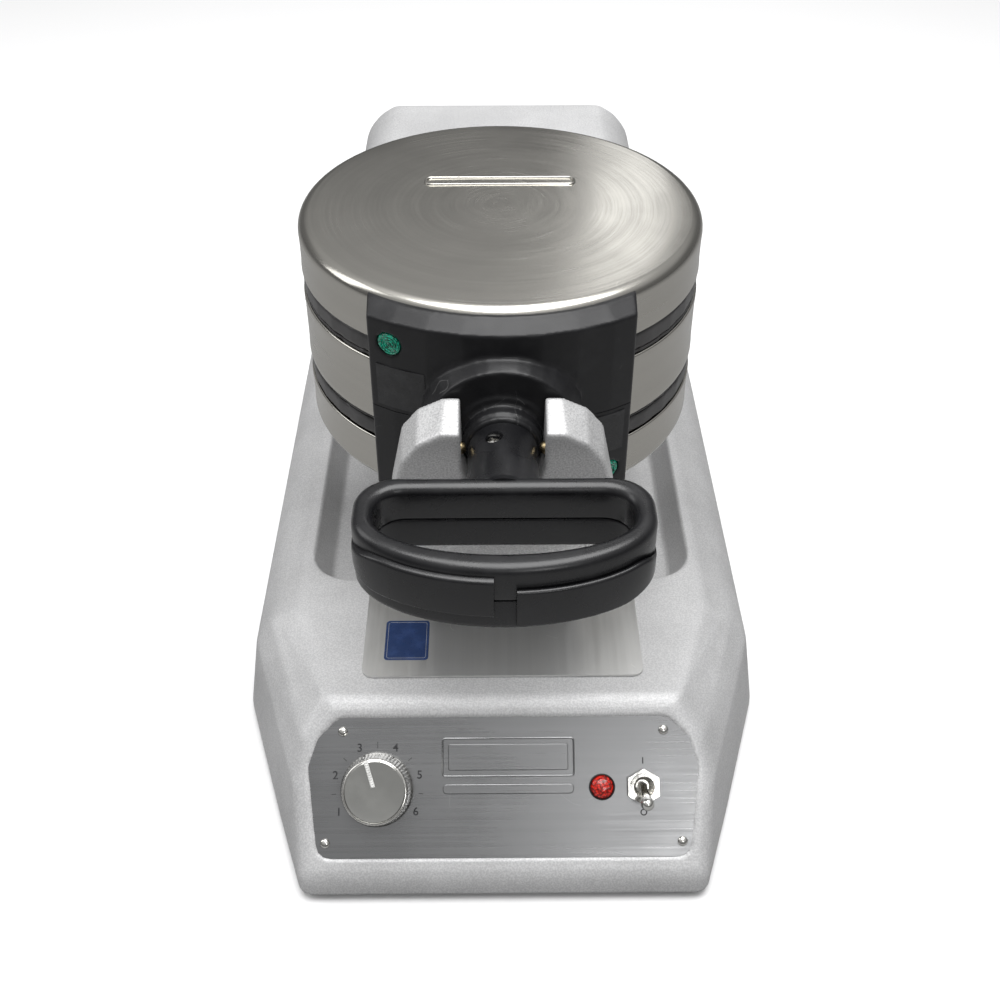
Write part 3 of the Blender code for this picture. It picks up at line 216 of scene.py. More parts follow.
def settle(obj):
    """Applies the modifiers and the object's own matrix."""
    graph = bpy.context.evaluated_depsgraph_get()
    mesh = bpy.data.meshes.new_from_object(obj.evaluated_get(graph), depsgraph=graph)
    mesh.transform(obj.matrix_world)
    name = obj.name
    old = obj.data
    obj.modifiers.clear()
    if obj.type == "MESH":
        obj.data = mesh
        obj.matrix_world = Matrix.Identity(4)
        result = obj
    else:
        bpy.data.objects.remove(obj)
        result = in_scene(name, mesh)
    if old.users == 0 and isinstance(old, bpy.types.Mesh):
        bpy.data.meshes.remove(old)
    return result


def combine(obj, operation, *tools):
    """Joins the tools to the object, or cuts them from it, and removes them."""
    for tool in tools:
        step = obj.modifiers.new(operation, "BOOLEAN")
        step.operation = operation
        step.solver = "EXACT"
        step.object = tool
        settle(obj)
        bpy.data.objects.remove(tool)
    return obj


def cut(obj, *tools):
    return combine(obj, "DIFFERENCE", *tools)


def gather(name, *objs):
    """Puts several closed bodies into one mesh object."""
    bm = bmesh.new()
    for obj in objs:
        bm.from_mesh(obj.data)
        bpy.data.objects.remove(obj)
    mesh = bpy.data.meshes.new(name)
    bm.to_mesh(mesh)
    bm.free()
    return in_scene(name, mesh)


def loft(name, rings, capped=True, looped=False):
    """A skin through rings of the same number of points."""
    bm = bmesh.new()
    rows = [[bm.verts.new(point) for point in ring] for ring in rings]
    count = len(rows[0])
    pairs = list(zip(rows, rows[1:])) + ([(rows[-1], rows[0])] if looped else [])
    for a, b in pairs:
        for i in range(count):
            j = (i + 1) % count
            bm.faces.new((a[i], a[j], b[j], b[i]))
    if capped and not looped:
        bm.faces.new(rows[0])
        bm.faces.new(rows[-1])
    return from_bmesh(name, bm)


def arc(radius, start, end, steps, centre=(0.0, 0.0)):
    """Points of an arc, with the angles in degrees."""
    angles = [math.radians(start + (end - start) * i / steps) for i in range(steps + 1)]
    return [(centre[0] + radius * math.cos(a), centre[1] + radius * math.sin(a)) for a in angles]


def lathe(name, profile, matrix=Matrix(), sides=96, ripple=None):
    """Turns a profile of (radius, height) pairs about Z. ripple(angle, index) scales a radius."""
    bm = bmesh.new()
    rings = []
    for index, (radius, height) in enumerate(profile):
        if radius < 1e-7:
            rings.append([bm.verts.new((0, 0, height))])
            continue
        ring = []
        for i in range(sides):
            angle = 2 * math.pi * i / sides
            r = radius * (ripple(angle, index) if ripple else 1.0)
            ring.append(bm.verts.new((r * math.cos(angle), r * math.sin(angle), height)))
        rings.append(ring)
    for a, b in zip(rings, rings[1:]):
        for i in range(sides):
            j = (i + 1) % sides
            corners = [a[i % len(a)], a[j % len(a)], b[j % len(b)], b[i % len(b)]]
            corners = list(dict.fromkeys(corners))
            if len(corners) > 2:
                bm.faces.new(corners)
    first, last = rings[0], rings[-1]
    if len(first) > 1 and len(last) > 1 and profile[0] == profile[-1]:
        bmesh.ops.remove_doubles(bm, verts=bm.verts, dist=1e-7)
    obj = from_bmesh(name, bm)
    obj.data.transform(matrix)
    return obj


def along(start, end):
    """Matrix that stands Z along a line, with its origin at the start."""
    start, end = Vector(start), Vector(end)
    turn = (end - start).to_track_quat("Z", "Y").to_matrix().to_4x4()
    return Matrix.Translation(start) @ turn


def bar(name, radius, start, end, sides=48, soft=0.0):
    """A round bar between two points, with its edges rounded by soft."""
    length = (Vector(end) - Vector(start)).length
    profile = [(0, 0)]
    if soft:
        profile += [(x, z) for x, z in arc(soft, -90, 0, 3, (radius - soft, soft))]
        profile += [(x, z) for x, z in arc(soft, 0, 90, 3, (radius - soft, length - soft))]
    else:
        profile += [(radius, 0), (radius, length)]
    profile += [(0, length)]
    return lathe(name, profile, along(start, end), sides)


def rounded(points, radii, steps=5):
    """A closed outline with its corners rounded; each corner has its own radius."""
    outline = []
    count = len(points)
    for i, corner in enumerate(points):
        radius = radii[i] if isinstance(radii, (list, tuple)) else radii
        here = Vector(corner)
        before = (Vector(points[i - 1]) - here)
        after = (Vector(points[(i + 1) % count]) - here)
        half = before.angle(after) / 2
        reach = min(radius / math.tan(half), before.length * 0.49, after.length * 0.49)
        start, end = here + before.normalized() * reach, here + after.normalized() * reach
        for k in range(steps + 1):
            t = k / steps
            outline.append(start * (1 - t) ** 2 + here * 2 * t * (1 - t) + end * t ** 2)
    return [tuple(point) for point in outline]


def slab(name, outline, low, high, matrix=Matrix(), soft=0.0):
    """A flat piece with the given outline, rounded at its edges by soft."""
    bm = bmesh.new()
    corners = [bm.verts.new((x, y, low)) for x, y in outline]
    face = bm.faces.new(corners)
    new = bmesh.ops.extrude_face_region(bm, geom=[face])["geom"]
    moved = [v for v in new if isinstance(v, bmesh.types.BMVert)]
    bmesh.ops.translate(bm, verts=moved, vec=(0, 0, high - low))
    obj = from_bmesh(name, bm)
    if soft:
        bevel(obj, soft, 3, 50)
    obj.data.transform(matrix)
    return obj


def block(name, low, high, soft=0.0):
    outline = [(low[0], low[1]), (high[0], low[1]), (high[0], high[1]), (low[0], high[1])]
    return slab(name, outline, low[2], high[2], Matrix(), soft)


def bevel(obj, width, segments=2, angle=35):
    step = obj.modifiers.new("round", "BEVEL")
    step.width = width
    step.segments = segments
    step.limit_method = "ANGLE"
    step.angle_limit = math.radians(angle)
    step.use_clamp_overlap = True
    return settle(obj)


def soften(obj, voxel, rounds, keep):
    """Rounds every edge as a sand casting's or a moulding's are, and thins the mesh."""
    melt = obj.modifiers.new("melt", "REMESH")
    melt.mode = "VOXEL"
    melt.voxel_size = voxel
    relax = obj.modifiers.new("relax", "SMOOTH")
    relax.factor = 0.5
    relax.iterations = rounds
    thin = obj.modifiers.new("thin", "DECIMATE")
    thin.ratio = keep
    return settle(obj)


def shade(obj, angle=32):
    obj.data.shade_smooth()
    obj.data.set_sharp_from_angle(angle=math.radians(angle))
    return obj


def copy_of(node, name=None):
    """A new object with the same solid as a frame node, to be refined."""
    return in_scene(name or node + "_look", frame["nodes"][node].data.copy())


def turned_over(obj, name):
    """The same piece on the other side of the head."""
    twin = in_scene(name, obj.data.copy())
    twin.data.transform(TURNED_OVER)
    return twin


def dress(obj, look, nodes=(), body=None, angle=32):
    """Gives a piece its finish and body, and hides the frame nodes that it stands for."""
    nodes = [nodes] if isinstance(nodes, str) else list(nodes)
    obj.data.materials.clear()
    obj.data.materials.append(look)
    shade(obj, angle)
    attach(obj, body or frame["nodes"][nodes[0]]["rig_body"])
    if nodes:
        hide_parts(*nodes)
    return obj


def dress_pair(obj, look, node, angle=32):
    """Dresses an upper piece of the head and its turned-over copy below."""
    twin = turned_over(obj, node.replace("upper", "lower") + "_look")
    dress(twin, look, node.replace("upper", "lower"), angle=angle)
    return dress(obj, look, node, angle=angle)


def dress_loose_pair(obj, look, body_above, body_below):
    """Dresses a small upper piece that stands for no node of its own, and its copy below."""
    twin = turned_over(obj, obj.name.replace("upper", "lower"))
    dress(twin, look, body=body_below)
    return dress(obj, look, body=body_above)


# ---------------------------------------------------------------- shader groups
def new_group(name, inputs, outputs):
    group = bpy.data.node_groups.new(name, "ShaderNodeTree")
    for label, kind, value in inputs:
        socket = group.interface.new_socket(label, in_out="INPUT", socket_type=kind)
        if value is not None:
            socket.default_value = value
    for label, kind in outputs:
        group.interface.new_socket(label, in_out="OUTPUT", socket_type=kind)
    entry = group.nodes.new("NodeGroupInput")
    result = group.nodes.new("NodeGroupOutput")
    return group, entry, result


def math_node(tree, operation, a, b=None):
    node = tree.nodes.new("ShaderNodeMath")
    node.operation = operation
    for socket, value in zip(node.inputs, (a, b)):
        if value is None:
            continue
        if isinstance(value, (int, float)):
            socket.default_value = value
        else:
            tree.links.new(value, socket)
    return node.outputs[0]


def grain_group():
    """Fine grain in all directions, from cast paint to moulded plastic."""
    group, entry, result = new_group(
        "Fine Grain",
        [("Grain Size", "NodeSocketFloat", 0.001), ("Mottle Size", "NodeSocketFloat", 0.03)],
        [("Grain", "NodeSocketFloat"), ("Mottle", "NodeSocketFloat")])
    place = group.nodes.new("ShaderNodeTexCoord").outputs["Object"]
    for label, out in (("Grain Size", "Grain"), ("Mottle Size", "Mottle")):
        noise = group.nodes.new("ShaderNodeTexNoise")
        noise.inputs["Detail"].default_value = 3.0
        noise.inputs["Roughness"].default_value = 0.6
        group.links.new(place, noise.inputs["Vector"])
        scale = math_node(group, "DIVIDE", 1.0, entry.outputs[label])
        group.links.new(scale, noise.inputs["Scale"])
        group.links.new(noise.outputs["Fac"], result.inputs[out])
    return group


def brush_group():
    """Scratches of brushed steel, drawn out along one direction: fine lines and broad streaks."""
    group, entry, result = new_group(
        "Brushed Lines",
        [("Vector", "NodeSocketVector", None),
         ("Stretch", "NodeSocketVector", (10.0, 900.0, 900.0))],
        [("Lines", "NodeSocketFloat"), ("Streaks", "NodeSocketFloat")])
    scaled = group.nodes.new("ShaderNodeVectorMath")
    scaled.operation = "MULTIPLY"
    group.links.new(entry.outputs["Vector"], scaled.inputs[0])
    group.links.new(entry.outputs["Stretch"], scaled.inputs[1])
    for scale, out in ((1.0, "Lines"), (0.13, "Streaks")):
        noise = group.nodes.new("ShaderNodeTexNoise")
        noise.inputs["Scale"].default_value = scale
        noise.inputs["Detail"].default_value = 4.0
        noise.inputs["Roughness"].default_value = 0.65
        group.links.new(scaled.outputs[0], noise.inputs["Vector"])
        group.links.new(noise.outputs["Fac"], result.inputs[out])
    return group


def turned_group():
    """Turns places about the head's middle into radius, angle and height, for spun steel."""
    group, entry, result = new_group(
        "Spun Direction", [("Middle", "NodeSocketVector", None)], [("Vector", "NodeSocketVector")])
    place = group.nodes.new("ShaderNodeTexCoord").outputs["Object"]
    offset = group.nodes.new("ShaderNodeVectorMath")
    offset.operation = "SUBTRACT"
    group.links.new(place, offset.inputs[0])
    group.links.new(entry.outputs["Middle"], offset.inputs[1])
    parts = group.nodes.new("ShaderNodeSeparateXYZ")
    group.links.new(offset.outputs[0], parts.inputs[0])
    x, y, z = parts.outputs
    squares = math_node(group, "ADD", math_node(group, "MULTIPLY", x, x),
                        math_node(group, "MULTIPLY", y, y))
    radius = math_node(group, "SQRT", squares)
    away = math_node(group, "MULTIPLY", y, -1.0)
    angle = math_node(group, "ARCTAN2", x, away)
    whole = group.nodes.new("ShaderNodeCombineXYZ")
    group.links.new(math_node(group, "MULTIPLY", angle, HEAD_RADIUS), whole.inputs[0])
    group.links.new(radius, whole.inputs[1])
    group.links.new(z, whole.inputs[2])
    group.links.new(whole.outputs[0], result.inputs["Vector"])
    return group


def scuff_group():
    """Sparse scuffs and hairline scratches, 0 where the surface is clean."""
    group, entry, result = new_group(
        "Scuffs", [("Size", "NodeSocketFloat", 0.02), ("Amount", "NodeSocketFloat", 0.4)],
        [("Mask", "NodeSocketFloat")])
    place = group.nodes.new("ShaderNodeTexCoord").outputs["Object"]
    bent = group.nodes.new("ShaderNodeTexNoise")
    bent.inputs["Scale"].default_value = 22.0
    group.links.new(place, bent.inputs["Vector"])
    shift = group.nodes.new("ShaderNodeVectorMath")
    shift.operation = "MULTIPLY_ADD"
    shift.inputs[1].default_value = (0.05, 0.05, 0.05)
    group.links.new(bent.outputs["Color"], shift.inputs[0])
    group.links.new(place, shift.inputs[2])
    cells = group.nodes.new("ShaderNodeTexVoronoi")
    cells.feature = "DISTANCE_TO_EDGE"
    group.links.new(shift.outputs[0], cells.inputs["Vector"])
    group.links.new(math_node(group, "DIVIDE", 1.0, entry.outputs["Size"]), cells.inputs["Scale"])
    line = math_node(group, "LESS_THAN", cells.outputs["Distance"], 0.0025)
    patch = group.nodes.new("ShaderNodeTexNoise")
    patch.inputs["Scale"].default_value = 35.0
    group.links.new(place, patch.inputs["Vector"])
    where = math_node(group, "LESS_THAN", patch.outputs["Fac"], entry.outputs["Amount"])
    group.links.new(math_node(group, "MULTIPLY", line, where), result.inputs["Mask"])
    return group


GROUPS = {}


def shared_group(name):
    makers = {"grain": grain_group, "brush": brush_group, "turned": turned_group,
              "scuff": scuff_group}
    if name not in GROUPS:
        GROUPS[name] = makers[name]()
    return GROUPS[name]


class Look:
    """One material under construction: its Principled shader and helpers to drive it."""

    def __init__(self, name, slot, base, roughness, metallic=0.0, **constants):
        self.material = bpy.data.materials.new(name)
        self.material.use_nodes = True
        self.material["slot"] = slot
        self.tree = self.material.node_tree
        self.shader = self.tree.nodes["Principled BSDF"]
        self.shader.inputs["Base Color"].default_value = (*base, 1.0)
        self.shader.inputs["Roughness"].default_value = roughness
        self.shader.inputs["Metallic"].default_value = metallic
        for label, value in constants.items():
            self.shader.inputs[label.replace("_", " ")].default_value = value
        self.normal = None

    def group(self, name, **values):
        node = self.tree.nodes.new("ShaderNodeGroup")
        node.node_tree = shared_group(name)
        for label, value in values.items():
            socket = node.inputs[label.replace("_", " ")]
            if isinstance(value, bpy.types.NodeSocket):
                self.tree.links.new(value, socket)
            else:
                socket.default_value = value
        return node

    def place(self):
        return self.tree.nodes.new("ShaderNodeTexCoord").outputs["Object"]

    def ramp(self, value, low, high, a, b):
        """Maps a value between low and high to the numbers a to b."""
        node = self.tree.nodes.new("ShaderNodeMapRange")
        for label, number in (("From Min", low), ("From Max", high), ("To Min", a), ("To Max", b)):
            node.inputs[label].default_value = number
        self.tree.links.new(value, node.inputs["Value"])
        return node.outputs["Result"]

    def blend(self, factor, first, second):
        """Mixes two colours, or a colour socket and a colour."""
        node = self.tree.nodes.new("ShaderNodeMix")
        node.data_type = "RGBA"
        self.tree.links.new(factor, node.inputs[0])
        for socket, value in ((node.inputs[6], first), (node.inputs[7], second)):
            if isinstance(value, bpy.types.NodeSocket):
                self.tree.links.new(value, socket)
            else:
                socket.default_value = (*value, 1.0)
        return node.outputs[2]

    def drive(self, label, socket):
        self.tree.links.new(socket, self.shader.inputs[label])

    def bump(self, height, strength, distance):
        node = self.tree.nodes.new("ShaderNodeBump")
        node.inputs["Strength"].default_value = strength
        node.inputs["Distance"].default_value = distance
        self.tree.links.new(height, node.inputs["Height"])
        if self.normal:
            self.tree.links.new(self.normal, node.inputs["Normal"])
        self.normal = node.outputs["Normal"]
        self.tree.links.new(self.normal, self.shader.inputs["Normal"])


LOOKS = {}


def look(name):
    """The finished material of that name, made on first use."""
    if name not in LOOKS:
        LOOKS[name] = LOOK_MAKERS[name]()
    return LOOKS[name]


def silver_paint():
    castings = bpy.context.scene.waffle_castings
    paint = Look("silver_paint", "cast_paint", castings.paint, castings.roughness, 0.25)
    grain = paint.group("grain", Grain_Size=0.0008, Mottle_Size=0.05)
    speck = paint.ramp(grain.outputs["Grain"], 0.42, 0.60, 0.0, 1.0)
    mottle = paint.ramp(grain.outputs["Mottle"], 0.35, 0.70, 0.90, 1.06)
    tone = paint.blend(speck, castings.paint_dark, castings.paint)
    scale = paint.tree.nodes.new("ShaderNodeMix")
    scale.data_type = "RGBA"
    scale.blend_type = "MULTIPLY"
    scale.inputs[0].default_value = 1.0
    paint.tree.links.new(tone, scale.inputs[6])
    paint.tree.links.new(mottle, scale.inputs[7])
    paint.drive("Base Color", scale.outputs[2])
    paint.drive("Roughness", paint.ramp(grain.outputs["Grain"], 0.3, 0.7, castings.roughness + 0.08,
                                        castings.roughness - 0.06))
    paint.bump(grain.outputs["Grain"], 0.4, 0.0002)
    return paint.material


def fork_paint():
    """The same silver with darker grains and a little more sheen."""
    castings = bpy.context.scene.waffle_castings
    paint = Look("fork_paint", "cast_paint", castings.paint, castings.roughness - 0.08, 0.35)
    grain = paint.group("grain", Grain_Size=0.0008, Mottle_Size=0.014)
    speck = paint.ramp(grain.outputs["Grain"], 0.30, 0.66, 0.0, 1.0)
    dark = tuple(c * 0.72 for c in castings.paint_dark)
    paint.drive("Base Color", paint.blend(speck, dark, castings.paint))
    paint.drive("Roughness", paint.ramp(grain.outputs["Grain"], 0.3, 0.7, 0.52, 0.30))
    paint.bump(grain.outputs["Grain"], 0.35, 0.0002)
    return paint.material


def satin_black():
    """Black paint over a casting, with fine grain, rubbed spots and scuffs."""
    head = bpy.context.scene.waffle_head
    black = Look("satin_black", "black_plastic", head.bracket, 0.32, 0.0, Specular_IOR_Level=0.35)
    grain = black.group("grain", Grain_Size=0.0006, Mottle_Size=0.016)
    scuff = black.group("scuff", Size=0.018, Amount=0.36)
    tone = black.blend(black.ramp(grain.outputs["Mottle"], 0.5, 0.8, 0.0, 1.0), head.bracket,
                       tuple(c * 1.5 + 0.003 for c in head.bracket))
    black.drive("Base Color", black.blend(scuff.outputs["Mask"], tone, (0.09, 0.09, 0.09)))
    black.drive("Roughness", black.ramp(grain.outputs["Mottle"], 0.3, 0.7, 0.28, 0.40))
    black.bump(grain.outputs["Grain"], 0.3, 0.00015)
    return black.material


def steel_look(name, slot, base, roughness, stretch, spun, lines=0.16):
    """Stainless steel with drawn or spun lines, scuffs and faint dull patches."""
    steel = Look(name, slot, base, roughness, 1.0)
    vector = steel.group("turned", Middle=tuple(HEAD)).outputs[0] if spun else steel.place()
    brush = steel.group("brush", Vector=vector, Stretch=stretch)
    scuff = steel.group("scuff", Size=0.034, Amount=0.34)
    patch = steel.group("grain", Grain_Size=0.004, Mottle_Size=0.07)
    dark = tuple(c * 0.94 for c in base)
    tone = steel.blend(steel.ramp(brush.outputs["Streaks"], 0.35, 0.65, 0.0, 1.0), dark, base)
    bright = tuple(min(c * 1.18, 0.95) for c in base)
    steel.drive("Base Color", steel.blend(scuff.outputs["Mask"], tone, bright))
    sheen = math_node(steel.tree, "ADD", steel.ramp(brush.outputs["Lines"], 0.3, 0.7, -0.04, 0.05),
                      steel.ramp(patch.outputs["Mottle"], 0.35, 0.65, roughness - 0.03,
                                 roughness + 0.05))
    steel.drive("Roughness", sheen)
    steel.bump(brush.outputs["Lines"], lines, 0.00006)
    return steel.material


def stainless():
    head = bpy.context.scene.waffle_head
    return steel_look("spun_stainless", "stainless", head.steel, head.steel_roughness,
                      (9.0, 700.0, 700.0), True, 0.03)


def plate_steel():
    controls = bpy.context.scene.waffle_controls
    return steel_look("brushed_plate", "stainless", controls.plate, 0.27, (12.0, 1300.0, 1300.0),
                      False, 0.22)


def tray_steel():
    return steel_look("tray_stainless", "stainless", (0.66, 0.66, 0.65), 0.38,
                      (1300.0, 12.0, 1300.0), False, 0.10)


def plain_steel():
    return steel_look("plain_steel", "plain_steel", (0.42, 0.42, 0.41), 0.33,
                      (40.0, 500.0, 500.0), False, 0.2)


def bright_metal():
    metal = Look("bright_nickel", "bright_metal", (0.72, 0.71, 0.68), 0.10, 1.0)
    grain = metal.group("grain", Grain_Size=0.0009, Mottle_Size=0.006)
    metal.drive("Roughness", metal.ramp(grain.outputs["Mottle"], 0.35, 0.65, 0.07, 0.20))
    tone = metal.blend(metal.ramp(grain.outputs["Mottle"], 0.35, 0.7, 0.0, 1.0),
                       (0.60, 0.59, 0.56), (0.80, 0.79, 0.76))
    metal.drive("Base Color", tone)
    metal.bump(grain.outputs["Grain"], 0.06, 0.00006)
    return metal.material


def knob_face():
    face = Look("polished_face", "bright_metal", (0.42, 0.42, 0.40), 0.16, 1.0)
    grain = face.group("grain", Grain_Size=0.0015, Mottle_Size=0.012)
    face.drive("Roughness", face.ramp(grain.outputs["Mottle"], 0.35, 0.65, 0.12, 0.22))
    face.bump(grain.outputs["Grain"], 0.05, 0.00005)
    return face.material


def pointer_look():
    white = Look("pointer_white", "bright_metal", (0.82, 0.82, 0.80), 0.30, 0.0)
    grain = white.group("grain", Grain_Size=0.0005, Mottle_Size=0.003)
    white.drive("Base Color", white.blend(white.ramp(grain.outputs["Mottle"], 0.4, 0.7, 0.0, 1.0),
                                          (0.86, 0.86, 0.84), (0.62, 0.62, 0.60)))
    white.bump(grain.outputs["Grain"], 0.1, 0.0001)
    return white.material


def brass():
    metal = Look("brass", "brass", (0.50, 0.39, 0.20), 0.28, 1.0)
    grain = metal.group("grain", Grain_Size=0.0008, Mottle_Size=0.004)
    metal.drive("Base Color", metal.blend(metal.ramp(grain.outputs["Mottle"], 0.35, 0.65, 0.0, 1.0),
                                          (0.24, 0.19, 0.11), (0.56, 0.45, 0.26)))
    metal.drive("Roughness", metal.ramp(grain.outputs["Grain"], 0.3, 0.7, 0.22, 0.40))
    metal.bump(grain.outputs["Grain"], 0.15, 0.0001)
    return metal.material


def plastic_look(name, slot, base, roughness, grain_size, depth):
    """Moulded plastic with a spark-eroded grain and faint rubbed spots."""
    plastic = Look(name, slot, base, roughness, 0.0, Specular_IOR_Level=0.55)
    grain = plastic.group("grain", Grain_Size=grain_size, Mottle_Size=0.02)
    worn = tuple(c * 1.6 + 0.003 for c in base)
    plastic.drive("Base Color", plastic.blend(
        plastic.ramp(grain.outputs["Mottle"], 0.50, 0.80, 0.0, 1.0), base, worn))
    plastic.drive("Roughness", plastic.ramp(grain.outputs["Mottle"], 0.3, 0.7, roughness - 0.06,
                                            roughness + 0.08))
    plastic.bump(grain.outputs["Grain"], 0.35, depth)
    return plastic.material


def black_plastic():
    grip = bpy.context.scene.waffle_grip
    return plastic_look("black_plastic", "black_plastic", grip.plastic, grip.plastic_roughness,
                        0.0007, 0.00012)


def dark_block():
    return plastic_look("moulded_block", "black_plastic", (0.05, 0.035, 0.028), 0.42, 0.0012,
                        0.0002)


def rubber():
    return plastic_look("rubber", "rubber", (0.022, 0.022, 0.022), 0.78, 0.0008, 0.0002)


def coating():
    head = bpy.context.scene.waffle_head
    coat = Look("nonstick_coating", "nonstick_plate", head.coating, 0.42, 0.1,
                Coat_Weight=0.15, Coat_Roughness=0.35)
    grain = coat.group("grain", Grain_Size=0.0006, Mottle_Size=0.012)
    tone = coat.blend(coat.ramp(grain.outputs["Mottle"], 0.35, 0.70, 0.0, 1.0), head.coating,
                      tuple(c * 1.9 for c in head.coating))
    fleck = coat.ramp(grain.outputs["Grain"], 0.66, 0.72, 0.0, 0.5)
    coat.drive("Base Color", coat.blend(fleck, tone, (0.16, 0.16, 0.16)))
    coat.drive("Roughness", coat.ramp(grain.outputs["Mottle"], 0.3, 0.7, 0.34, 0.50))
    coat.bump(grain.outputs["Grain"], 0.3, 0.0002)
    return coat.material


def heater_look():
    tube = Look("heater_sheath", "plain_steel", (0.16, 0.14, 0.12), 0.45, 0.9)
    grain = tube.group("grain", Grain_Size=0.001, Mottle_Size=0.01)
    tube.drive("Base Color", tube.blend(tube.ramp(grain.outputs["Mottle"], 0.35, 0.65, 0.0, 1.0),
                                        (0.09, 0.08, 0.075), (0.24, 0.19, 0.14)))
    tube.drive("Roughness", tube.ramp(grain.outputs["Grain"], 0.3, 0.7, 0.35, 0.6))
    tube.bump(grain.outputs["Grain"], 0.2, 0.0001)
    return tube.material


def lens_look(name, slot, base, glow):
    lens = Look(name, slot, base, 0.08, 0.0, Coat_Weight=0.6, Coat_Roughness=0.04,
                Emission_Strength=glow)
    cells = lens.tree.nodes.new("ShaderNodeTexVoronoi")
    cells.inputs["Scale"].default_value = 900.0
    lens.tree.links.new(lens.place(), cells.inputs["Vector"])
    tone = lens.blend(lens.ramp(cells.outputs["Distance"], 0.1, 0.75, 0.0, 1.0),
                      tuple(min(c * 1.5, 1.0) for c in base), tuple(c * 0.22 for c in base))
    lens.drive("Base Color", tone)
    lens.drive("Emission Color", tone)
    lens.bump(cells.outputs["Distance"], 0.35, 0.0006)
    return lens.material


def red_lens():
    return lens_look("red_lens", "red_lens", bpy.context.scene.waffle_controls.lamp, 0.22)


def green_lens():
    return lens_look("green_lens", "green_lens", bpy.context.scene.waffle_controls.ready_lamp, 0.30)


def ink():
    controls = bpy.context.scene.waffle_controls
    print_look = Look("printed_ink", "black_plastic", controls.ink, 0.5)
    grain = print_look.group("grain", Grain_Size=0.0004, Mottle_Size=0.003)
    print_look.drive("Base Color", print_look.blend(
        print_look.ramp(grain.outputs["Mottle"], 0.5, 0.75, 0.0, 1.0), controls.ink,
        (0.06, 0.06, 0.065)))
    return print_look.material


def sticker_look(name, base):
    film = Look(name, "black_plastic", base, 0.30)
    grain = film.group("grain", Grain_Size=0.0006, Mottle_Size=0.006)
    film.drive("Base Color", film.blend(film.ramp(grain.outputs["Mottle"], 0.45, 0.8, 0.0, 1.0),
                                        base, tuple(c * 1.5 + 0.01 for c in base)))
    film.drive("Roughness", film.ramp(grain.outputs["Grain"], 0.3, 0.7, 0.26, 0.42))
    film.bump(grain.outputs["Grain"], 0.1, 0.0001)
    return film.material


def blank_label():
    return sticker_look("blank_label", (0.016, 0.016, 0.017))


def blue_label():
    return sticker_look("blue_label", (0.012, 0.032, 0.105))


def pale_line():
    return sticker_look("pale_line", (0.42, 0.42, 0.42))


LOOK_MAKERS = {
    "paint": silver_paint, "fork_paint": fork_paint, "satin_black": satin_black,
    "pointer": pointer_look, "stainless": stainless, "plate": plate_steel, "tray": tray_steel,
    "steel": plain_steel, "bright": bright_metal, "knob_face": knob_face, "brass": brass,
    "plastic": black_plastic, "block": dark_block, "rubber": rubber, "coating": coating,
    "heater": heater_look, "red": red_lens, "green": green_lens, "ink": ink,
    "label": blank_label, "blue_label": blue_label, "pale_line": pale_line,
}


# ---------------------------------------------------------------- shared shapes
def refined(node, look_name, width=0.0004, segments=2, angle=35):
    """A frame node's solid with its edges rounded, in its own finish."""
    return dress(bevel(copy_of(node), width, segments, angle), look(look_name), node)


def panel_span(node):
    """Lowest and highest point of a node, measured out from the control panel."""
    heights = [(v.co - KNOB).dot(PANEL_NORMAL) for v in frame["nodes"][node].data.vertices]
    return min(heights), max(heights)


def panel_foot():
    """Axes of the control panel, with the origin in the middle of its lower edge."""
    height = bpy.context.scene.waffle_controls.knob_height
    return panel_frame(KNOB - Vector((KNOB.x, 0, 0)) - PANEL_UP * height)


def on_panel(node, face):
    """Axes of the panel at the middle of a small node that sits on it, at height face."""
    _, _, middle = box_of(node)
    flat = middle - PANEL_NORMAL * ((middle - KNOB).dot(PANEL_NORMAL) - face)
    return panel_frame(flat)


def round_rectangle(width, height, corner, inset=0.0):
    x, y = width / 2 - inset, height / 2 - inset
    return rounded([(x, y), (-x, y), (-x, -y), (x, -y)], max(corner - inset, 0.0002), 6)


def raised_line(name, width, height, corner, thick, rise, matrix):
    """A thin pressed line round a rectangle with round corners."""
    rings = []
    section = ((0, -0.0002), (0.2, rise * 0.7), (0.5, rise), (0.8, rise * 0.7), (1, -0.0002))
    for share_in, z in section:
        outline = round_rectangle(width, height, corner, share_in * thick)
        rings.append([(x, y, z) for x, y in outline])
    line = loft(name, rings, looped=True)
    line.data.transform(matrix)
    return line


def raised_pad(name, width, height, corner, rise, matrix):
    """A low blank pad with round corners and softened edges."""
    rings = []
    for inset, z in ((0, -0.0002), (0, rise * 0.4), (rise * 0.4, rise * 0.85), (rise, rise)):
        rings.append([(x, y, z) for x, y in round_rectangle(width, height, corner, inset)])
    pad = loft(name, rings)
    pad.data.transform(matrix)
    return pad


def ring(name, inner, outer, low, high, matrix, sides=64):
    """A flat ring with its outer edges rounded."""
    soft = min(outer - inner, high - low) * 0.3
    profile = [(inner, low), (outer, low), (outer, high - soft),
               (outer - soft * 0.3, high - soft * 0.3), (outer - soft, high),
               (inner + soft, high), (inner, high - soft), (inner, low)]
    return lathe(name, profile, matrix, sides)


def curved_block(name, inner, outer, half_width, low, high):
    """Part of a ring round the head at its front, between two radii and two heights."""
    rings = []
    for i in range(41):
        x = half_width * (i / 20 - 1)
        y_in = HEAD.y - math.sqrt(inner ** 2 - x * x)
        y_out = HEAD.y - math.sqrt(outer ** 2 - x * x)
        rings.append([(x, y_in, low), (x, y_out, low), (x, y_out, high), (x, y_in, high)])
    return loft(name, rings)


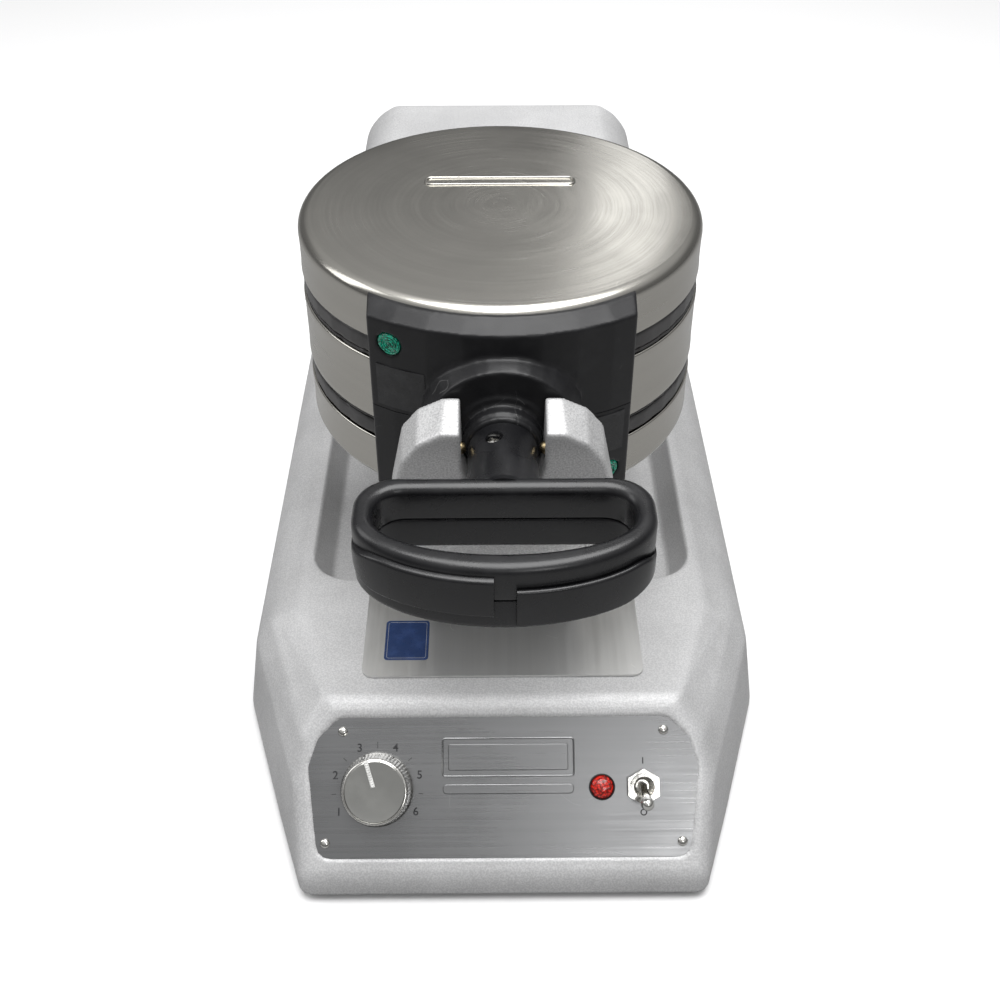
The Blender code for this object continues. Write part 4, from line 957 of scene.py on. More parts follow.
def softened_half(node, filler, voxel, rounds, keep):
    """A head piece that ends at the parting, rounded everywhere except on that plane.

    The filler thickens its back, so that no thin edge is left there. It reaches into the band and
    the upper middle plate behind it while the lid is shut."""
    upper = gather(node + "_upper", copy_of(node), filler)
    lower = in_scene(node + "_lower", upper.data.copy())
    squeeze = 0.0004
    upper.data.transform(Matrix.Translation((0, 0, -squeeze)))
    flip = HEAD_FRAME @ Matrix.Diagonal((1, 1, -1, 1)) @ HEAD_FRAME.inverted()
    lower.data.transform(Matrix.Translation((0, 0, squeeze)) @ flip)
    lower.data.flip_normals()
    whole = soften(gather(node + "_look", upper, lower), voxel, rounds, keep)
    whole.data.transform(Matrix.Translation((0, 0, squeeze)))
    parting = HEAD.z + 0.0002
    below = block("below", (-0.2, -0.4, parting - 0.2), (0.2, 0.2, parting))
    return cut(whole, below)


# ---------------------------------------------------------------- builders
class PieceOperator:
    """Shared by every builder: it can be undone from the edit menu."""
    bl_options = {"REGISTER", "UNDO"}


class WAFFLE_OT_housing(PieceOperator, bpy.types.Operator):
    """Cast base with its basin, panel pocket and rear tower"""
    bl_idname = "waffle.housing"
    bl_label = "Base Housing"

    def execute(self, context):
        castings = context.scene.waffle_castings
        housing = soften(copy_of("base_housing"), castings.voxel, castings.rounds, 0.45)
        dress(housing, look("paint"), "base_housing", angle=60)
        return {"FINISHED"}


class WAFFLE_OT_fork(PieceOperator, bpy.types.Operator):
    """Front fork, its two brass pads and the screws that hold it down"""
    bl_idname = "waffle.fork"
    bl_label = "Front Fork"

    def execute(self, context):
        castings = context.scene.waffle_castings
        fork = soften(copy_of("fork"), castings.fork_voxel, castings.fork_rounds, 0.5)
        dress(fork, look("fork_paint"), "fork", angle=60)
        for word in ("left", "right"):
            low, high, middle = box_of("fork_pad_" + word)
            ends = sorted((low.x, high.x), key=abs)
            radius = (high.z - low.z) / 2
            start, end = [Vector((x, middle.y, middle.z)) for x in ends]
            profile = [(0, 0), (radius * 0.45, 0.0001), (radius * 0.72, 0.0006),
                       (radius * 0.9, 0.0016)]
            profile += [(radius, 0.0024), (radius, (end - start).length), (0, (end - start).length)]
            pad = lathe(f"fork_pad_{word}_look", profile, along(start, end), 48)
            dress(pad, look("brass"), "fork_pad_" + word)
            refined("fork_screw_" + word, "steel", 0.0003)
        return {"FINISHED"}


class WAFFLE_OT_control_plate(PieceOperator, bpy.types.Operator):
    """Brushed control plate with its pressed frame, rivets and printed scale"""
    bl_idname = "waffle.control_plate"
    bl_label = "Control Plate"

    def execute(self, context):
        refined("control_plate", "plate", 0.00025, 2, 60)
        _, face = panel_span("control_plate")
        foot = panel_foot() @ Matrix.Translation((0, 0, face))
        self.press_frame(foot)
        for place in ("upper_left", "upper_right", "lower_left", "lower_right"):
            self.rivet("panel_rivet_" + place, face)
        self.print_scale(context.scene.waffle_controls, face)
        return {"FINISHED"}

    def press_frame(self, foot):
        """The pressed frame with a blank field in it, and a blank bar under it."""
        middle = 0.0022
        frame_line = raised_line("panel_frame", 0.0622, 0.0183, 0.0022, 0.0010, 0.0005,
                                 foot @ Matrix.Translation((middle, 0.05535, 0)))
        field = raised_pad("panel_field", 0.0560, 0.0122, 0.0012, 0.0004,
                           foot @ Matrix.Translation((middle, 0.05535, 0)))
        bar_line = raised_pad("panel_bar", 0.0610, 0.0046, 0.0022, 0.0004,
                              foot @ Matrix.Translation((middle, 0.0408, 0)))
        dress(gather("panel_pressing", frame_line, field, bar_line), look("plate"), body="base",
              angle=12)

    def rivet(self, node, face):
        low, high, _ = box_of(node)
        radius = (high.x - low.x) / 2
        profile = [(0, -0.0001), (radius, -0.0001), (radius, 0.0001)]
        profile += [(radius * math.cos(a), 0.0012 * math.sin(a))
                    for a in (0.25, 0.55, 0.85, 1.15, 1.4)] + [(0, 0.0012)]
        dress(lathe(node + "_look", profile, on_panel(node, face), 32), look("bright"), node)

    def print_scale(self, controls, face):
        """Numbers and ticks round the knob, and the two marks at the toggle switch."""
        marks = []
        knob = panel_frame(KNOB) @ Matrix.Translation((0, 0, face + 0.00004))
        first = controls.digit_step * (controls.digits - 1) / 2
        for i in range(controls.digits):
            angle = first - controls.digit_step * i
            place = Vector((-math.sin(angle), math.cos(angle), 0)) * controls.scale_radius
            marks.append(self.letter(str(i + 1), controls.digit_size,
                                     knob @ Matrix.Translation(place)))
        for i in range(controls.digits - 1):
            angle = first - controls.digit_step * (i + 0.5)
            turn = Matrix.Rotation(angle, 4, "Z")
            reach = 0.0019 if abs(angle) < 0.01 else 0.0013
            tick = block("tick", (-0.00014, -reach, -0.00002), (0.00014, reach * 0.6, 0.00002))
            tick.data.transform(knob @ turn @ Matrix.Translation((0, controls.scale_radius, 0)))
            marks.append(tick)
        toggle = on_panel("toggle_nut", face + 0.00004)
        for body, v in (("I", 0.0118), ("O", -0.0118)):
            marks.append(self.letter(body, 0.0029, toggle @ Matrix.Translation((0, v, 0))))
        dress(gather("panel_print", *marks), look("ink"), body="base")

    def letter(self, body, size, matrix):
        """One printed character; the font's figures are 0.7 of its size high."""
        text = bpy.data.curves.new("print", "FONT")
        text.body = body
        text.size = size / 0.7
        text.align_x = "CENTER"
        text.align_y = "CENTER"
        text.extrude = 0.00002
        text.offset = 0.00007
        obj = in_scene("print", text)
        obj.matrix_world = matrix
        return settle(obj)


class WAFFLE_OT_lamp(PieceOperator, bpy.types.Operator):
    """Red pilot lamp with its faceted dome, black ring and body"""
    bl_idname = "waffle.lamp"
    bl_label = "Pilot Lamp"

    def execute(self, context):
        low, _ = panel_span("pilot_lamp_lens")
        _, face = panel_span("control_plate")
        box_low, box_high, _ = box_of("pilot_lamp_lens")
        radius = (box_high.x - box_low.x) / 2
        across = (box_low.x + box_high.x) / 2
        profile = [(0, low), (radius, low), (radius, face + 0.0006)]
        profile += [(radius * 0.93, face + 0.0016), (radius * 0.70, face + 0.0028),
                    (radius * 0.36, face + 0.0035), (0, face + 0.0037)]
        centre = panel_foot() @ Matrix.Translation((across, self.height(), 0))
        lens = lathe("pilot_lamp_lens_look", profile, centre, 14)
        dress(lens, look("red"), "pilot_lamp_lens", angle=8)
        bezel = ring("pilot_lamp_ring", radius + 0.0001, radius + 0.0008, face - 0.0001,
                     face + 0.0007, centre)
        dress(bezel, look("satin_black"), body="base")
        refined("pilot_lamp_body", "block", 0.0006)
        return {"FINISHED"}

    def height(self):
        """How far up the panel the lamp's middle is."""
        origin = panel_foot().translation
        points = [v.co for v in frame["nodes"]["pilot_lamp_lens"].data.vertices]
        along_panel = [(p - origin).dot(PANEL_UP) for p in points]
        return (min(along_panel) + max(along_panel)) / 2


class WAFFLE_OT_knob(PieceOperator, bpy.types.Operator):
    """Thermostat knob with its ridged rim, polished face and ribbed pointer"""
    bl_idname = "waffle.knob"
    bl_label = "Knob"

    def execute(self, context):
        controls = context.scene.waffle_controls
        low, high = panel_span("knob")
        box_low, box_high, _ = box_of("knob")
        radius = (box_high.x - box_low.x) / 2
        place = panel_frame(KNOB)
        outline = [(0, low), (0.93, low), (0.985, low + 0.0005), (1.0, low + 0.0012),
                   (1.0, low + 0.0026), (0.975, low + 0.0034), (0.960, low + 0.0040),
                   (0.915, high - 0.0020), (0.905, high - 0.0010), (0.880, high - 0.0003),
                   (0.855, high), (0.835, high), (0.830, high - 0.0005), (0, high - 0.0005)]
        ridged = range(5, 9)

        def ridges(angle, index):
            deep = 0.016 if index in ridged else 0.0
            return 1.0 - deep * (0.5 - 0.5 * math.cos(angle * controls.knurls))

        body = lathe("knob_look", [(r * radius, z) for r, z in outline], place,
                     controls.knurls * 6, ridges)
        dress(body, look("bright"), "knob", angle=50)
        disc = [(0, high - 0.0008), (0.828, high - 0.0008), (0.828, high - 0.0002),
                (0.80, high), (0.70, high - 0.0001), (0.35, high - 0.0003), (0, high - 0.0004)]
        face = lathe("knob_face", [(r * radius, z) for r, z in disc], place, 96)
        dress(face, look("knob_face"), body="knob", angle=25)
        self.pointer(controls, place, radius, high)
        refined("knob_spindle", "steel", 0.0003)
        refined("thermostat", "steel", 0.0010)
        return {"FINISHED"}

    def pointer(self, controls, place, radius, high):
        """A narrow bar with small ribs across it."""
        turn = place @ Matrix.Rotation(controls.pointer, 4, "Z")
        start, end, half = radius * 0.12, radius * 0.86, 0.00095
        base = block("base", (-half, start, high - 0.0006), (half, end, high + 0.0003), 0.0002)
        pieces = [base]
        pitch = 0.0011
        for i in range(int((end - start) / pitch)):
            y = start + pitch * (i + 0.35)
            pieces.append(block("rib", (-half * 0.85, y, high), (half * 0.85, y + pitch * 0.5,
                                                                 high + 0.0006), 0.00015))
        pointer = gather("knob_pointer", *pieces)
        pointer.data.transform(turn)
        dress(pointer, look("pointer"), body="knob")


class WAFFLE_OT_toggle(PieceOperator, bpy.types.Operator):
    """Toggle switch with its chamfered nut, threaded bush and bat lever"""
    bl_idname = "waffle.toggle"
    bl_label = "Toggle Switch"

    def execute(self, context):
        refined("toggle_nut", "bright", 0.0005, 3, 40)
        refined("toggle_body", "bright", 0.0002, 2, 50)
        _, top = panel_span("toggle_body")
        _, nut_top = panel_span("toggle_nut")
        self.thread(nut_top, top)
        self.lever()
        return {"FINISHED"}

    def thread(self, low, high):
        """Ridges of the thread, where the bush stands out of its nut."""
        inner, outer, pitch = 0.0054, 0.0061, 0.0007
        place = on_panel("toggle_nut", 0)
        origin = panel_frame(TOGGLE).translation
        place.translation = origin - PANEL_NORMAL * (origin - KNOB).dot(PANEL_NORMAL)
        profile = [(inner, low - pitch)]
        for i in range(int((high - low) / pitch) + 1):
            z = low - pitch + pitch * i
            profile += [(outer - 0.0003, z + pitch * 0.25), (outer, z + pitch * 0.75)]
        profile += [(inner, profile[-1][1]), profile[0]]
        dress(lathe("toggle_thread", profile, place, 64), look("bright"), body="base", angle=20)

    def lever(self):
        """The bat: slim at the bush, thickest near its round end."""
        points = [v.co for v in frame["nodes"]["toggle_lever"].data.vertices]
        tip = max(points, key=lambda point: (point - TOGGLE).length)
        length = (tip - TOGGLE).length
        thick = 0.0030
        profile = [(0, -0.0020), (0.0013, -0.0016), (0.0018, -0.0008), (0.0016, 0.0012)]
        profile += [(0.0017, length * 0.25), (0.0022, length * 0.50), (0.0027, length * 0.70)]
        profile += [(thick * x, length - thick + thick * z) for x, z in arc(1.0, 0, 90, 8)]
        bat = lathe("toggle_lever_look", profile, along(TOGGLE, tip), 48)
        dress(bat, look("bright"), "toggle_lever", angle=40)


class WAFFLE_OT_drip_tray(PieceOperator, bpy.types.Operator):
    """Loose steel sheet on the deck, with a blank label"""
    bl_idname = "waffle.drip_tray"
    bl_label = "Drip Tray"

    def execute(self, context):
        refined("drip_tray", "tray", 0.00035, 3, 50)
        width, length = 0.0215, 0.0268
        left = TRAY_LOW.x + 0.0100
        front = TRAY_LOW.y + 0.0103
        place = Matrix.Translation((left + width / 2, front + length / 2, TRAY_HIGH.z))
        label = raised_pad("tray_label", width, length, 0.0022, 0.00018, place)
        line = raised_line("tray_label_line", width - 0.0022, length - 0.0022, 0.0016, 0.0004, 0.00022,
                           place)
        dress(label, look("blue_label"), body="drip_tray", angle=12)
        dress(line, look("pale_line"), body="drip_tray")
        return {"FINISHED"}


class WAFFLE_OT_covers(PieceOperator, bpy.types.Operator):
    """Spun stainless covers of the two lids"""
    bl_idname = "waffle.covers"
    bl_label = "Lid Covers"

    def execute(self, context):
        head = context.scene.waffle_head
        top = COVER_TOP - 0.0008
        edge = top - head.crown
        r, soft, sheet, hem = HEAD_RADIUS, head.shoulder, 0.0012, 0.0007
        profile = [(0, top)]
        for i in range(1, 10):
            out = i / 10
            profile.append(((r - soft) * out, top - head.crown * out ** 2))
        profile += [(x, z) for x, z in arc(soft, 90, 0, 10, (r - soft, edge - soft))]
        profile += [(r - 0.0002, edge - soft - 0.004), (r - 0.0002, COVER_RIM + 0.0040),
                    (r, COVER_RIM + 0.0026), (r, COVER_RIM + hem)]
        profile += [(x, z) for x, z in arc(hem, 0, -180, 6, (r - hem, COVER_RIM + hem))]
        profile += [(r - sheet, COVER_RIM + 0.0030), (r - sheet, edge - soft)]
        profile += [(x, z) for x, z in arc(soft - sheet, 0, 90, 4, (r - soft, edge - soft))]
        profile += [(0, top - sheet)]
        cover = lathe("upper_cover_look", profile, HEAD_FRAME, 160)
        dress_pair(cover, look("stainless"), "upper_cover", angle=40)
        bar_place = HEAD_FRAME @ Matrix.Translation((0, 0.0240, top - head.crown * 0.09))
        pad = raised_line("upper_cover_frame", 0.0740, 0.0090, 0.0040, 0.0016, 0.0007, bar_place)
        dress_loose_pair(pad, look("stainless"), "upper_lid", "head")
        return {"FINISHED"}


class WAFFLE_OT_plates(PieceOperator, bpy.types.Operator):
    """Four cast waffle plates, the band between them and the heaters behind them"""
    bl_idname = "waffle.plates"
    bl_label = "Baking Plates"

    def execute(self, context):
        upper = soften(copy_of("upper_plate"), 0.0011, 3, 0.35)
        dress_pair(upper, look("coating"), "upper_plate", angle=45)
        middle = soften(copy_of("middle_plate_upper"), 0.0011, 3, 0.35)
        twin = turned_over(middle, "middle_plate_lower_look")
        dress(middle, look("coating"), "middle_plate_upper", angle=45)
        dress(twin, look("coating"), "middle_plate_lower", angle=45)
        self.band()
        for place in ("upper", "middle", "lower"):
            self.heater(place + "_heater")
        return {"FINISHED"}

    def band(self):
        """Stainless band with a rolled bead along both edges."""
        r, z, bead = HEAD_RADIUS, BAND_HALF, 0.0009
        half = [(r, z - 0.0035), (r - 0.0002, z - 0.0045), (r - 0.0002, 0)]
        top = [(x, y) for x, y in arc(bead, 180, 0, 8, (r - bead, z - bead))]
        outside = top + half
        lower = [(x, -y) for x, y in reversed(outside[:-1])]
        inside = [(r - 2 * bead, -z + bead), (r - 0.0013, -z + 0.004), (r - 0.0013, z - 0.004)]
        profile = outside + lower + inside + [outside[0]]
        band = lathe("middle_band_look", profile, HEAD_FRAME, 160)
        dress(band, look("stainless"), "middle_band", angle=40)

    def heater(self, node):
        """The sheathed ring, with more sides than the frame's."""
        tube = copy_of(node)
        step = tube.modifiers.new("round", "SUBSURF")
        step.levels = 1
        step.render_levels = 1
        dress(settle(tube), look("heater"), node, angle=60)


class WAFFLE_OT_brackets(PieceOperator, bpy.types.Operator):
    """Curved front brackets with their boss and collar, and the ready lenses"""
    bl_idname = "waffle.brackets"
    bl_label = "Front Brackets"

    def execute(self, context):
        castings = context.scene.waffle_castings
        low, high, _ = box_of("upper_bracket")
        filler = curved_block("filler", HEAD_RADIUS - 0.0022, HEAD_RADIUS + 0.0012,
                              high.x - 0.0002, low.z, high.z - 0.0001)
        bracket = softened_half("upper_bracket", filler, castings.fork_voxel, 4, 0.5)
        dress_pair(bracket, look("satin_black"), "upper_bracket", angle=45)
        lens = soften(copy_of("upper_ready_lens"), 0.0004, 4, 0.5)
        dress_pair(lens, look("green"), "upper_ready_lens", angle=60)
        self.lens_ribs()
        self.label()
        return {"FINISHED"}

    def lens_ribs(self):
        """Shallow round ridges pressed into the face of the ready lens."""
        low, high, middle = box_of("upper_ready_lens")
        radius = (high.z - low.z) / 2
        surface = math.sqrt(BRACKET_REACH ** 2 - middle.x ** 2)
        normal = Vector((middle.x, -surface, 0)).normalized()
        start = Vector((middle.x, HEAD.y - surface, middle.z))
        place = along(start, start + normal)
        ribs = []
        for i in range(4):
            r = radius * (0.92 - 0.24 * i)
            profile = [(r - 0.0007, -0.0004), (r, -0.0004), (r, 0.0000), (r - 0.0002, 0.00015),
                       (r - 0.0005, 0.00015), (r - 0.0007, 0.0000), (r - 0.0007, -0.0004)]
            ribs.append(lathe("rib", profile, place, 48))
        dress_loose_pair(gather("upper_lens_ribs", *ribs), look("green"), "upper_lid", "head")

    def label(self):
        """A blank square of black film that follows the bracket's curve."""
        left, right = -0.0550, -0.0335
        low, high = HEAD.z + 0.0022, HEAD.z + 0.0232
        rings = []
        for i in range(13):
            x = left + (right - left) * i / 12
            y_in = HEAD.y - math.sqrt((BRACKET_REACH - 0.0002) ** 2 - x * x)
            y_out = HEAD.y - math.sqrt((BRACKET_REACH + 0.0002) ** 2 - x * x)
            rings.append([(x, y_in, low), (x, y_out, low), (x, y_out, high), (x, y_in, high)])
        dress_loose_pair(loft("upper_label", rings), look("label"), "upper_lid", "head")


class WAFFLE_OT_grips(PieceOperator, bpy.types.Operator):
    """The two D-shaped grips with their lips and half-round necks, and their screws"""
    bl_idname = "waffle.grips"
    bl_label = "Grips"

    def execute(self, context):
        grip = context.scene.waffle_grip
        low, high, _ = box_of("upper_handle")
        self.height = high.z - HEAD.z
        self.neck_start = high.y
        self.front = low.y + (grip.lip_gap + grip.lip) * grip.front_share
        self.back = self.front + grip.depth
        pieces = gather("upper_handle_look", self.loop(grip), self.lip(grip), self.neck(grip))
        dress_pair(pieces, look("plastic"), "upper_handle", angle=40)
        self.screw()
        return {"FINISHED"}

    def outline(self, grip, inset):
        """The D seen from above, from the middle of the front round to it again."""
        half = grip.half_width - inset
        back = self.back - inset
        front = self.front + inset * grip.front_share
        side = self.back - grip.side_drop
        corner = max(grip.corner - 0.6 * inset, 0.004)
        right = [(half * math.sin(a), side - (side - front) * math.cos(a))
                 for a in (math.pi / 2 * i / 28 for i in range(29))]
        right += arc(corner, 0, 90, 9, (half - corner, back - corner))
        right += [((half - corner) * (1 - i / 4), back) for i in range(1, 5)]
        return right + [(-x, y) for x, y in reversed(right[1:-1])]

    def loop(self, grip):
        """The bar, with its top well rounded and a fine edge at the joint."""
        rings = []
        for outer, inner in zip(self.outline(grip, 0.0), self.outline(grip, grip.bar)):
            start = Vector((*outer, HEAD.z))
            across = Vector((*inner, HEAD.z)) - start
            width = across.length
            across.normalize()
            r = min(grip.top_round, width * 0.47)
            section = [(0.0007, 0.0003), (0.0002, 0.0005), (0.0, 0.0012)]
            section += arc(r, 180, 90, 7, (r, self.height - r))
            section += arc(r, 90, 0, 7, (width - r, self.height - r))
            section += [(width, 0.0012), (width - 0.0002, 0.0005), (width - 0.0007, 0.0003)]
            rings.append([start + across * d + Vector((0, 0, z)) for d, z in section])
        return loft("loop", rings, looped=True)

    def lip(self, grip):
        """The lip that hangs over the other grip on one side and dies away round the corner."""
        half, side, depth = grip.half_width, self.back - grip.side_drop, grip.depth - grip.side_drop
        first = math.asin(grip.notch / half)
        last = math.pi / 2
        steps = 36
        rings = []
        for i in range(steps + 1):
            a = first + (last - first) * i / steps
            point = Vector((-half * math.sin(a), side - depth * math.cos(a), HEAD.z))
            outward = Vector((-math.sin(a) * depth, -math.cos(a) * half, 0)).normalized()
            far = 1.0 - i / steps
            grow = self.ease(far / 0.30)
            drop = self.ease((far - 0.05) / 0.35)
            thick = (grip.lip_gap + grip.lip) * grow
            above = grip.lip_above * (0.45 + 0.55 * self.ease(far / 0.5))
            below = grip.lip_below * drop
            soft = min(0.0016, thick * 0.6 + 0.0001)
            edge = min(0.0014, below * 0.45 + 0.0002)
            section = [(-0.0025, 0.0004), (-0.0025, above - 0.0006)]
            section += [(-0.0004, above)]
            section += arc(soft, 90, 0, 5, (thick - soft, above - soft * 1.2))
            section += arc(edge, 0, -90, 5, (thick - edge, -below + edge))
            inside = min(grip.lip_gap, thick * 0.5)
            section += [(inside, -below + 0.0002), (inside, 0.0004)]
            rings.append([point + outward * d + Vector((0, 0, z)) for d, z in section])
        return loft("lip", rings)

    def ease(self, x):
        x = min(max(x, 0.0), 1.0)
        return x * x * (3 - 2 * x)

    def neck(self, grip):
        """Half-round neck with a stepped hole for its screw, flared where it meets the loop."""
        r = grip.neck_radius
        start = Vector((0, self.neck_start, HEAD.z))
        end = Vector((0, self.back - 0.0035, HEAD.z))
        length = (end - start).length
        profile = [(0, 0), (r - 0.0008, 0), (r, 0.0008), (r, length - 0.0052)]
        profile += [(r + 0.0020 * (1 - math.cos(t)), length - 0.0052 + 0.0052 * t / 1.5)
                    for t in (0.4, 0.8, 1.2, 1.5)]
        profile += [(0, length)]
        neck = lathe("neck", profile, along(start, end), 96)
        _, high, middle = box_of("upper_handle_screw")
        floor = Vector((middle.x, middle.y, high.z - 0.0020))
        mouth = HEAD.z + r - floor.z
        hole = [(0, 0), (0.0034, 0), (0.0034, mouth - 0.0016), (0.0044, mouth + 0.001),
                (0.0044, 0.02), (0, 0.02)]
        below = block("below", (-0.1, -0.4, HEAD.z - 0.1), (0.1, 0.1, HEAD.z + 0.0002))
        return cut(neck, below, lathe("hole", hole, Matrix.Translation(floor), 48))

    def screw(self):
        """Domed screw with a cross recess, at the bottom of the neck's hole."""
        low, high, middle = box_of("upper_handle_screw")
        radius = (high.x - low.x) / 2
        length = high.z - low.z
        profile = [(0, 0), (radius * 0.43, 0.0003), (radius * 0.43, length - 0.0019),
                   (radius * 0.95, length - 0.0019), (radius, length - 0.0016)]
        profile += [(radius * x, length - 0.0012 + 0.0012 * z) for x, z in arc(1.0, 0, 90, 6)]
        start = Vector((middle.x, middle.y, low.z))
        screw = lathe("upper_handle_screw_look", profile, Matrix.Translation(start), 32)
        top = Matrix.Translation((middle.x, middle.y, high.z))
        for turn in (0.4, 0.4 + math.pi / 2):
            slot = block("slot", (-0.0019, -0.0004, -0.0009), (0.0019, 0.0004, 0.001))
            slot.data.transform(top @ Matrix.Rotation(turn, 4, "Z"))
            screw = cut(screw, slot)
        dress_pair(screw, look("bright"), "upper_handle_screw", angle=30)


class WAFFLE_OT_hinge(PieceOperator, bpy.types.Operator):
    """Rear hinge, the shaft that the head turns on, and its bush and collar"""
    bl_idname = "waffle.hinge"
    bl_label = "Hinge and Shaft"

    def execute(self, context):
        refined("hinge_bracket", "steel", 0.0008, 3)
        for place in ("upper", "lower"):
            refined(place + "_hinge_arm", "steel", 0.0007, 3)
            low, high, middle = box_of(place + "_hinge_pin")
            start, end = Vector((low.x, middle.y, middle.z)), Vector((high.x, middle.y, middle.z))
            pin = bar(place + "_hinge_pin_look", (high.z - low.z) / 2, start, end, 40, 0.0006)
            dress(pin, look("bright"), place + "_hinge_pin")
        refined("rear_shaft", "steel", 0.0005)
        refined("shaft_collar", "steel", 0.0004)
        refined("rear_bush", "brass", 0.0004)
        return {"FINISHED"}


class WAFFLE_OT_underside(PieceOperator, bpy.types.Operator):
    """Base plate, rubber feet, cable gland and the parts inside the base"""
    bl_idname = "waffle.underside"
    bl_label = "Underside"

    def execute(self, context):
        refined("base_plate", "steel", 0.0003, 2, 50)
        for place in ("front_left", "front_right", "rear_left", "rear_right"):
            self.foot("foot_" + place)
        self.gland()
        refined("terminal_block", "block", 0.0012, 3)
        refined("buzzer", "plastic", 0.0010, 3)
        return {"FINISHED"}

    def foot(self, node):
        """A rubber foot with a hollow under it and a groove round its side."""
        low, high, middle = box_of(node)
        r, h = (high.x - low.x) / 2, high.z - low.z
        profile = [(0, 0.0012), (r * 0.45, 0.0012), (r * 0.52, 0.0002), (r * 0.58, 0.0),
                   (r * 0.80, 0.0), (r * 0.86, 0.0004), (r * 0.90, h * 0.35), (r * 0.88, h * 0.45),
                   (r * 0.88, h * 0.55), (r * 0.96, h * 0.70), (r, h * 0.9), (r * 0.98, h), (0, h)]
        foot = lathe(node + "_look", profile, Matrix.Translation((middle.x, middle.y, low.z)), 48)
        dress(foot, look("rubber"), node, angle=40)

    def gland(self):
        """The strain relief's mouth, with a soft ridged lip inside it."""
        low, high, middle = box_of("cable_gland")
        r, length = (high.z - low.z) / 2, high.y - low.y
        start = Vector((middle.x, high.y, middle.z))
        profile = [(r, length), (r, 0.0008), (r - 0.0003, 0.0002), (r - 0.0010, 0), (r * 0.72, 0),
                   (r * 0.66, 0.0006), (r * 0.56, 0.0009), (r * 0.53, 0.0016)]
        for i in range(4):
            z = 0.0022 + 0.0016 * i
            profile += [(r * 0.60, z), (r * 0.53, z + 0.0006), (r * 0.53, z + 0.0010)]
        profile += [(r * 0.53, length), (r, length)]
        gland = lathe("cable_gland_look", profile, along(start, start - Vector((0, 1, 0))), 64)
        dress(gland, look("plastic"), "cable_gland", angle=30)


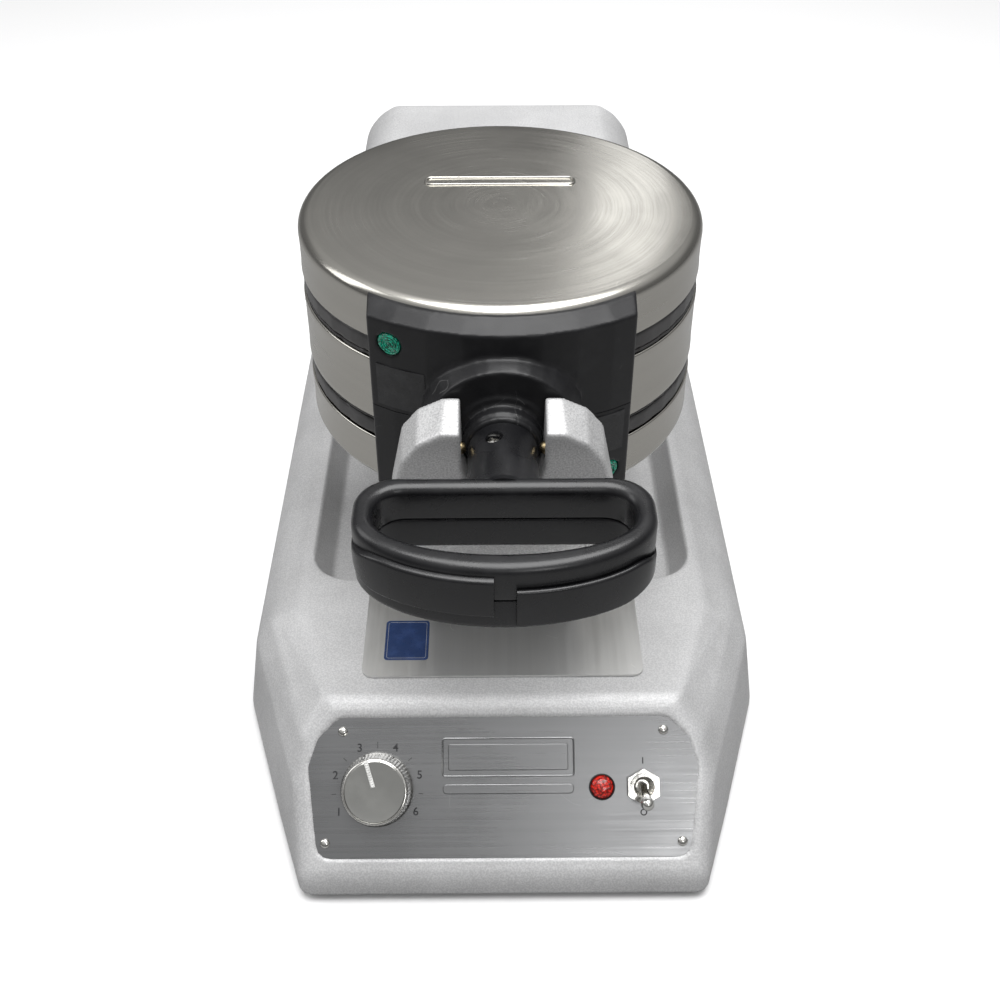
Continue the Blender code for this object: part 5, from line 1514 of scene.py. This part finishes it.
class WAFFLE_OT_stage(PieceOperator, bpy.types.Operator):
    """Pale floor, soft studio lights and the camera"""
    bl_idname = "waffle.stage"
    bl_label = "Stage"

    def execute(self, context):
        stage = context.scene.waffle_stage
        self.floor(stage)
        self.world(context.scene)
        self.light("top_softbox", (0.10, -0.12, 1.50), (0, -0.02, 0.1), 1.3, 1.1, 23.0)
        self.light("front_softbox", (0.262, -1.03, 0.715), (0.09, -0.208, 0.023), 0.19, 0.19, 0.8)
        self.light("rear_card", (0.24, 1.30, 0.92), (0.05, 0, 0.24), 0.14, 0.62, 0.42)
        self.light("left_card", (-1.20, 0.10, 0.95), (-0.09, 0, 0.2), 0.50, 0.9, 3.5)
        self.camera(context.scene, stage)
        context.scene.view_settings.view_transform = "Standard"
        return {"FINISHED"}

    def floor(self, stage):
        bm = bmesh.new()
        bmesh.ops.create_grid(bm, x_segments=8, y_segments=8, size=4.0)
        floor = from_bmesh("floor", bm)
        surface = Look("pale_floor", "", stage.floor, 0.85)
        grain = surface.group("grain", Grain_Size=0.002, Mottle_Size=0.4)
        darker = tuple(c * 0.985 for c in stage.floor)
        pale = surface.blend(grain.outputs["Mottle"], stage.floor, darker)
        seen = surface.tree.nodes.new("ShaderNodeLightPath").outputs["Is Camera Ray"]
        # the floor throws back less light than it shows, as a floor of small extent would
        surface.drive("Base Color", surface.blend(seen, (0.30, 0.30, 0.30), pale))
        floor.data.materials.append(surface.material)

    def world(self, scene):
        """A studio that is bright overhead and darker towards the horizon."""
        world = bpy.data.worlds.new("studio")
        world.use_nodes = True
        tree = world.node_tree
        place = tree.nodes.new("ShaderNodeTexCoord").outputs["Generated"]
        height = tree.nodes.new("ShaderNodeSeparateXYZ")
        tree.links.new(place, height.inputs[0])
        ramp = tree.nodes.new("ShaderNodeValToRGB")
        stops = ((0.0, 0.16), (0.30, 0.17), (0.42, 0.27), (0.54, 0.46), (0.70, 0.48), (0.88, 0.95))
        while len(ramp.color_ramp.elements) < len(stops):
            ramp.color_ramp.elements.new(0.5)
        for element, (position, value) in zip(ramp.color_ramp.elements, stops):
            element.position = position
            element.color = (value, value, value * 1.005, 1.0)
        tree.links.new(height.outputs["Z"], ramp.inputs["Fac"])
        background = tree.nodes["Background"]
        background.inputs["Strength"].default_value = 1.0
        tree.links.new(ramp.outputs["Color"], background.inputs["Color"])
        scene.world = world

    def light(self, name, place, target, width, height, power):
        lamp = bpy.data.lights.new(name, "AREA")
        lamp.shape = "RECTANGLE"
        lamp.size = width
        lamp.size_y = height
        lamp.energy = power
        obj = in_scene(name, lamp)
        obj.location = place
        aim = Vector(target) - Vector(place)
        obj.rotation_euler = aim.to_track_quat("-Z", "Y").to_euler()

    def camera(self, scene, stage):
        data = bpy.data.cameras.new("view")
        data.sensor_width = 36.0
        data.lens = stage.lens
        data.shift_y = -0.0093
        data.clip_start = 0.02
        camera = in_scene("view", data)
        camera.location = stage.camera
        camera.rotation_euler = (math.pi / 2 - stage.pitch, 0, stage.yaw)
        scene.camera = camera


BUILDERS = (
    WAFFLE_OT_housing, WAFFLE_OT_fork, WAFFLE_OT_control_plate, WAFFLE_OT_lamp, WAFFLE_OT_knob,
    WAFFLE_OT_toggle, WAFFLE_OT_drip_tray, WAFFLE_OT_covers, WAFFLE_OT_plates,
    WAFFLE_OT_brackets, WAFFLE_OT_grips, WAFFLE_OT_hinge, WAFFLE_OT_underside, WAFFLE_OT_stage,
)
SETTINGS = {
    "waffle_castings": CastingSettings, "waffle_head": HeadSettings,
    "waffle_controls": ControlSettings, "waffle_grip": GripSettings,
    "waffle_stage": StageSettings,
}


class WAFFLE_PT_sidebar(bpy.types.Panel):
    """Buttons that build the waffle maker, with its sizes and colours"""
    bl_idname = "WAFFLE_PT_sidebar"
    bl_label = "Waffle Maker"
    bl_space_type = "VIEW_3D"
    bl_region_type = "UI"
    bl_category = "Waffle Maker"

    def draw(self, context):
        for builder in BUILDERS:
            self.layout.operator(builder.bl_idname)
        for name in SETTINGS:
            box = self.layout.box()
            group = getattr(context.scene, name)
            for setting in group.bl_rna.properties:
                if setting.identifier not in {"rna_type", "name"}:
                    box.prop(group, setting.identifier)


def register():
    for cls in (*SETTINGS.values(), *BUILDERS, WAFFLE_PT_sidebar):
        bpy.utils.register_class(cls)
    for name, cls in SETTINGS.items():
        setattr(bpy.types.Scene, name, bpy.props.PointerProperty(type=cls))


def unregister():
    for name in SETTINGS:
        delattr(bpy.types.Scene, name)
    for cls in reversed((*SETTINGS.values(), *BUILDERS, WAFFLE_PT_sidebar)):
        bpy.utils.unregister_class(cls)


def main():
    register()
    for builder in BUILDERS:
        call = getattr(bpy.ops.waffle, builder.bl_idname.split(".")[1])
        call()


if __name__ == "__main__":
    main()
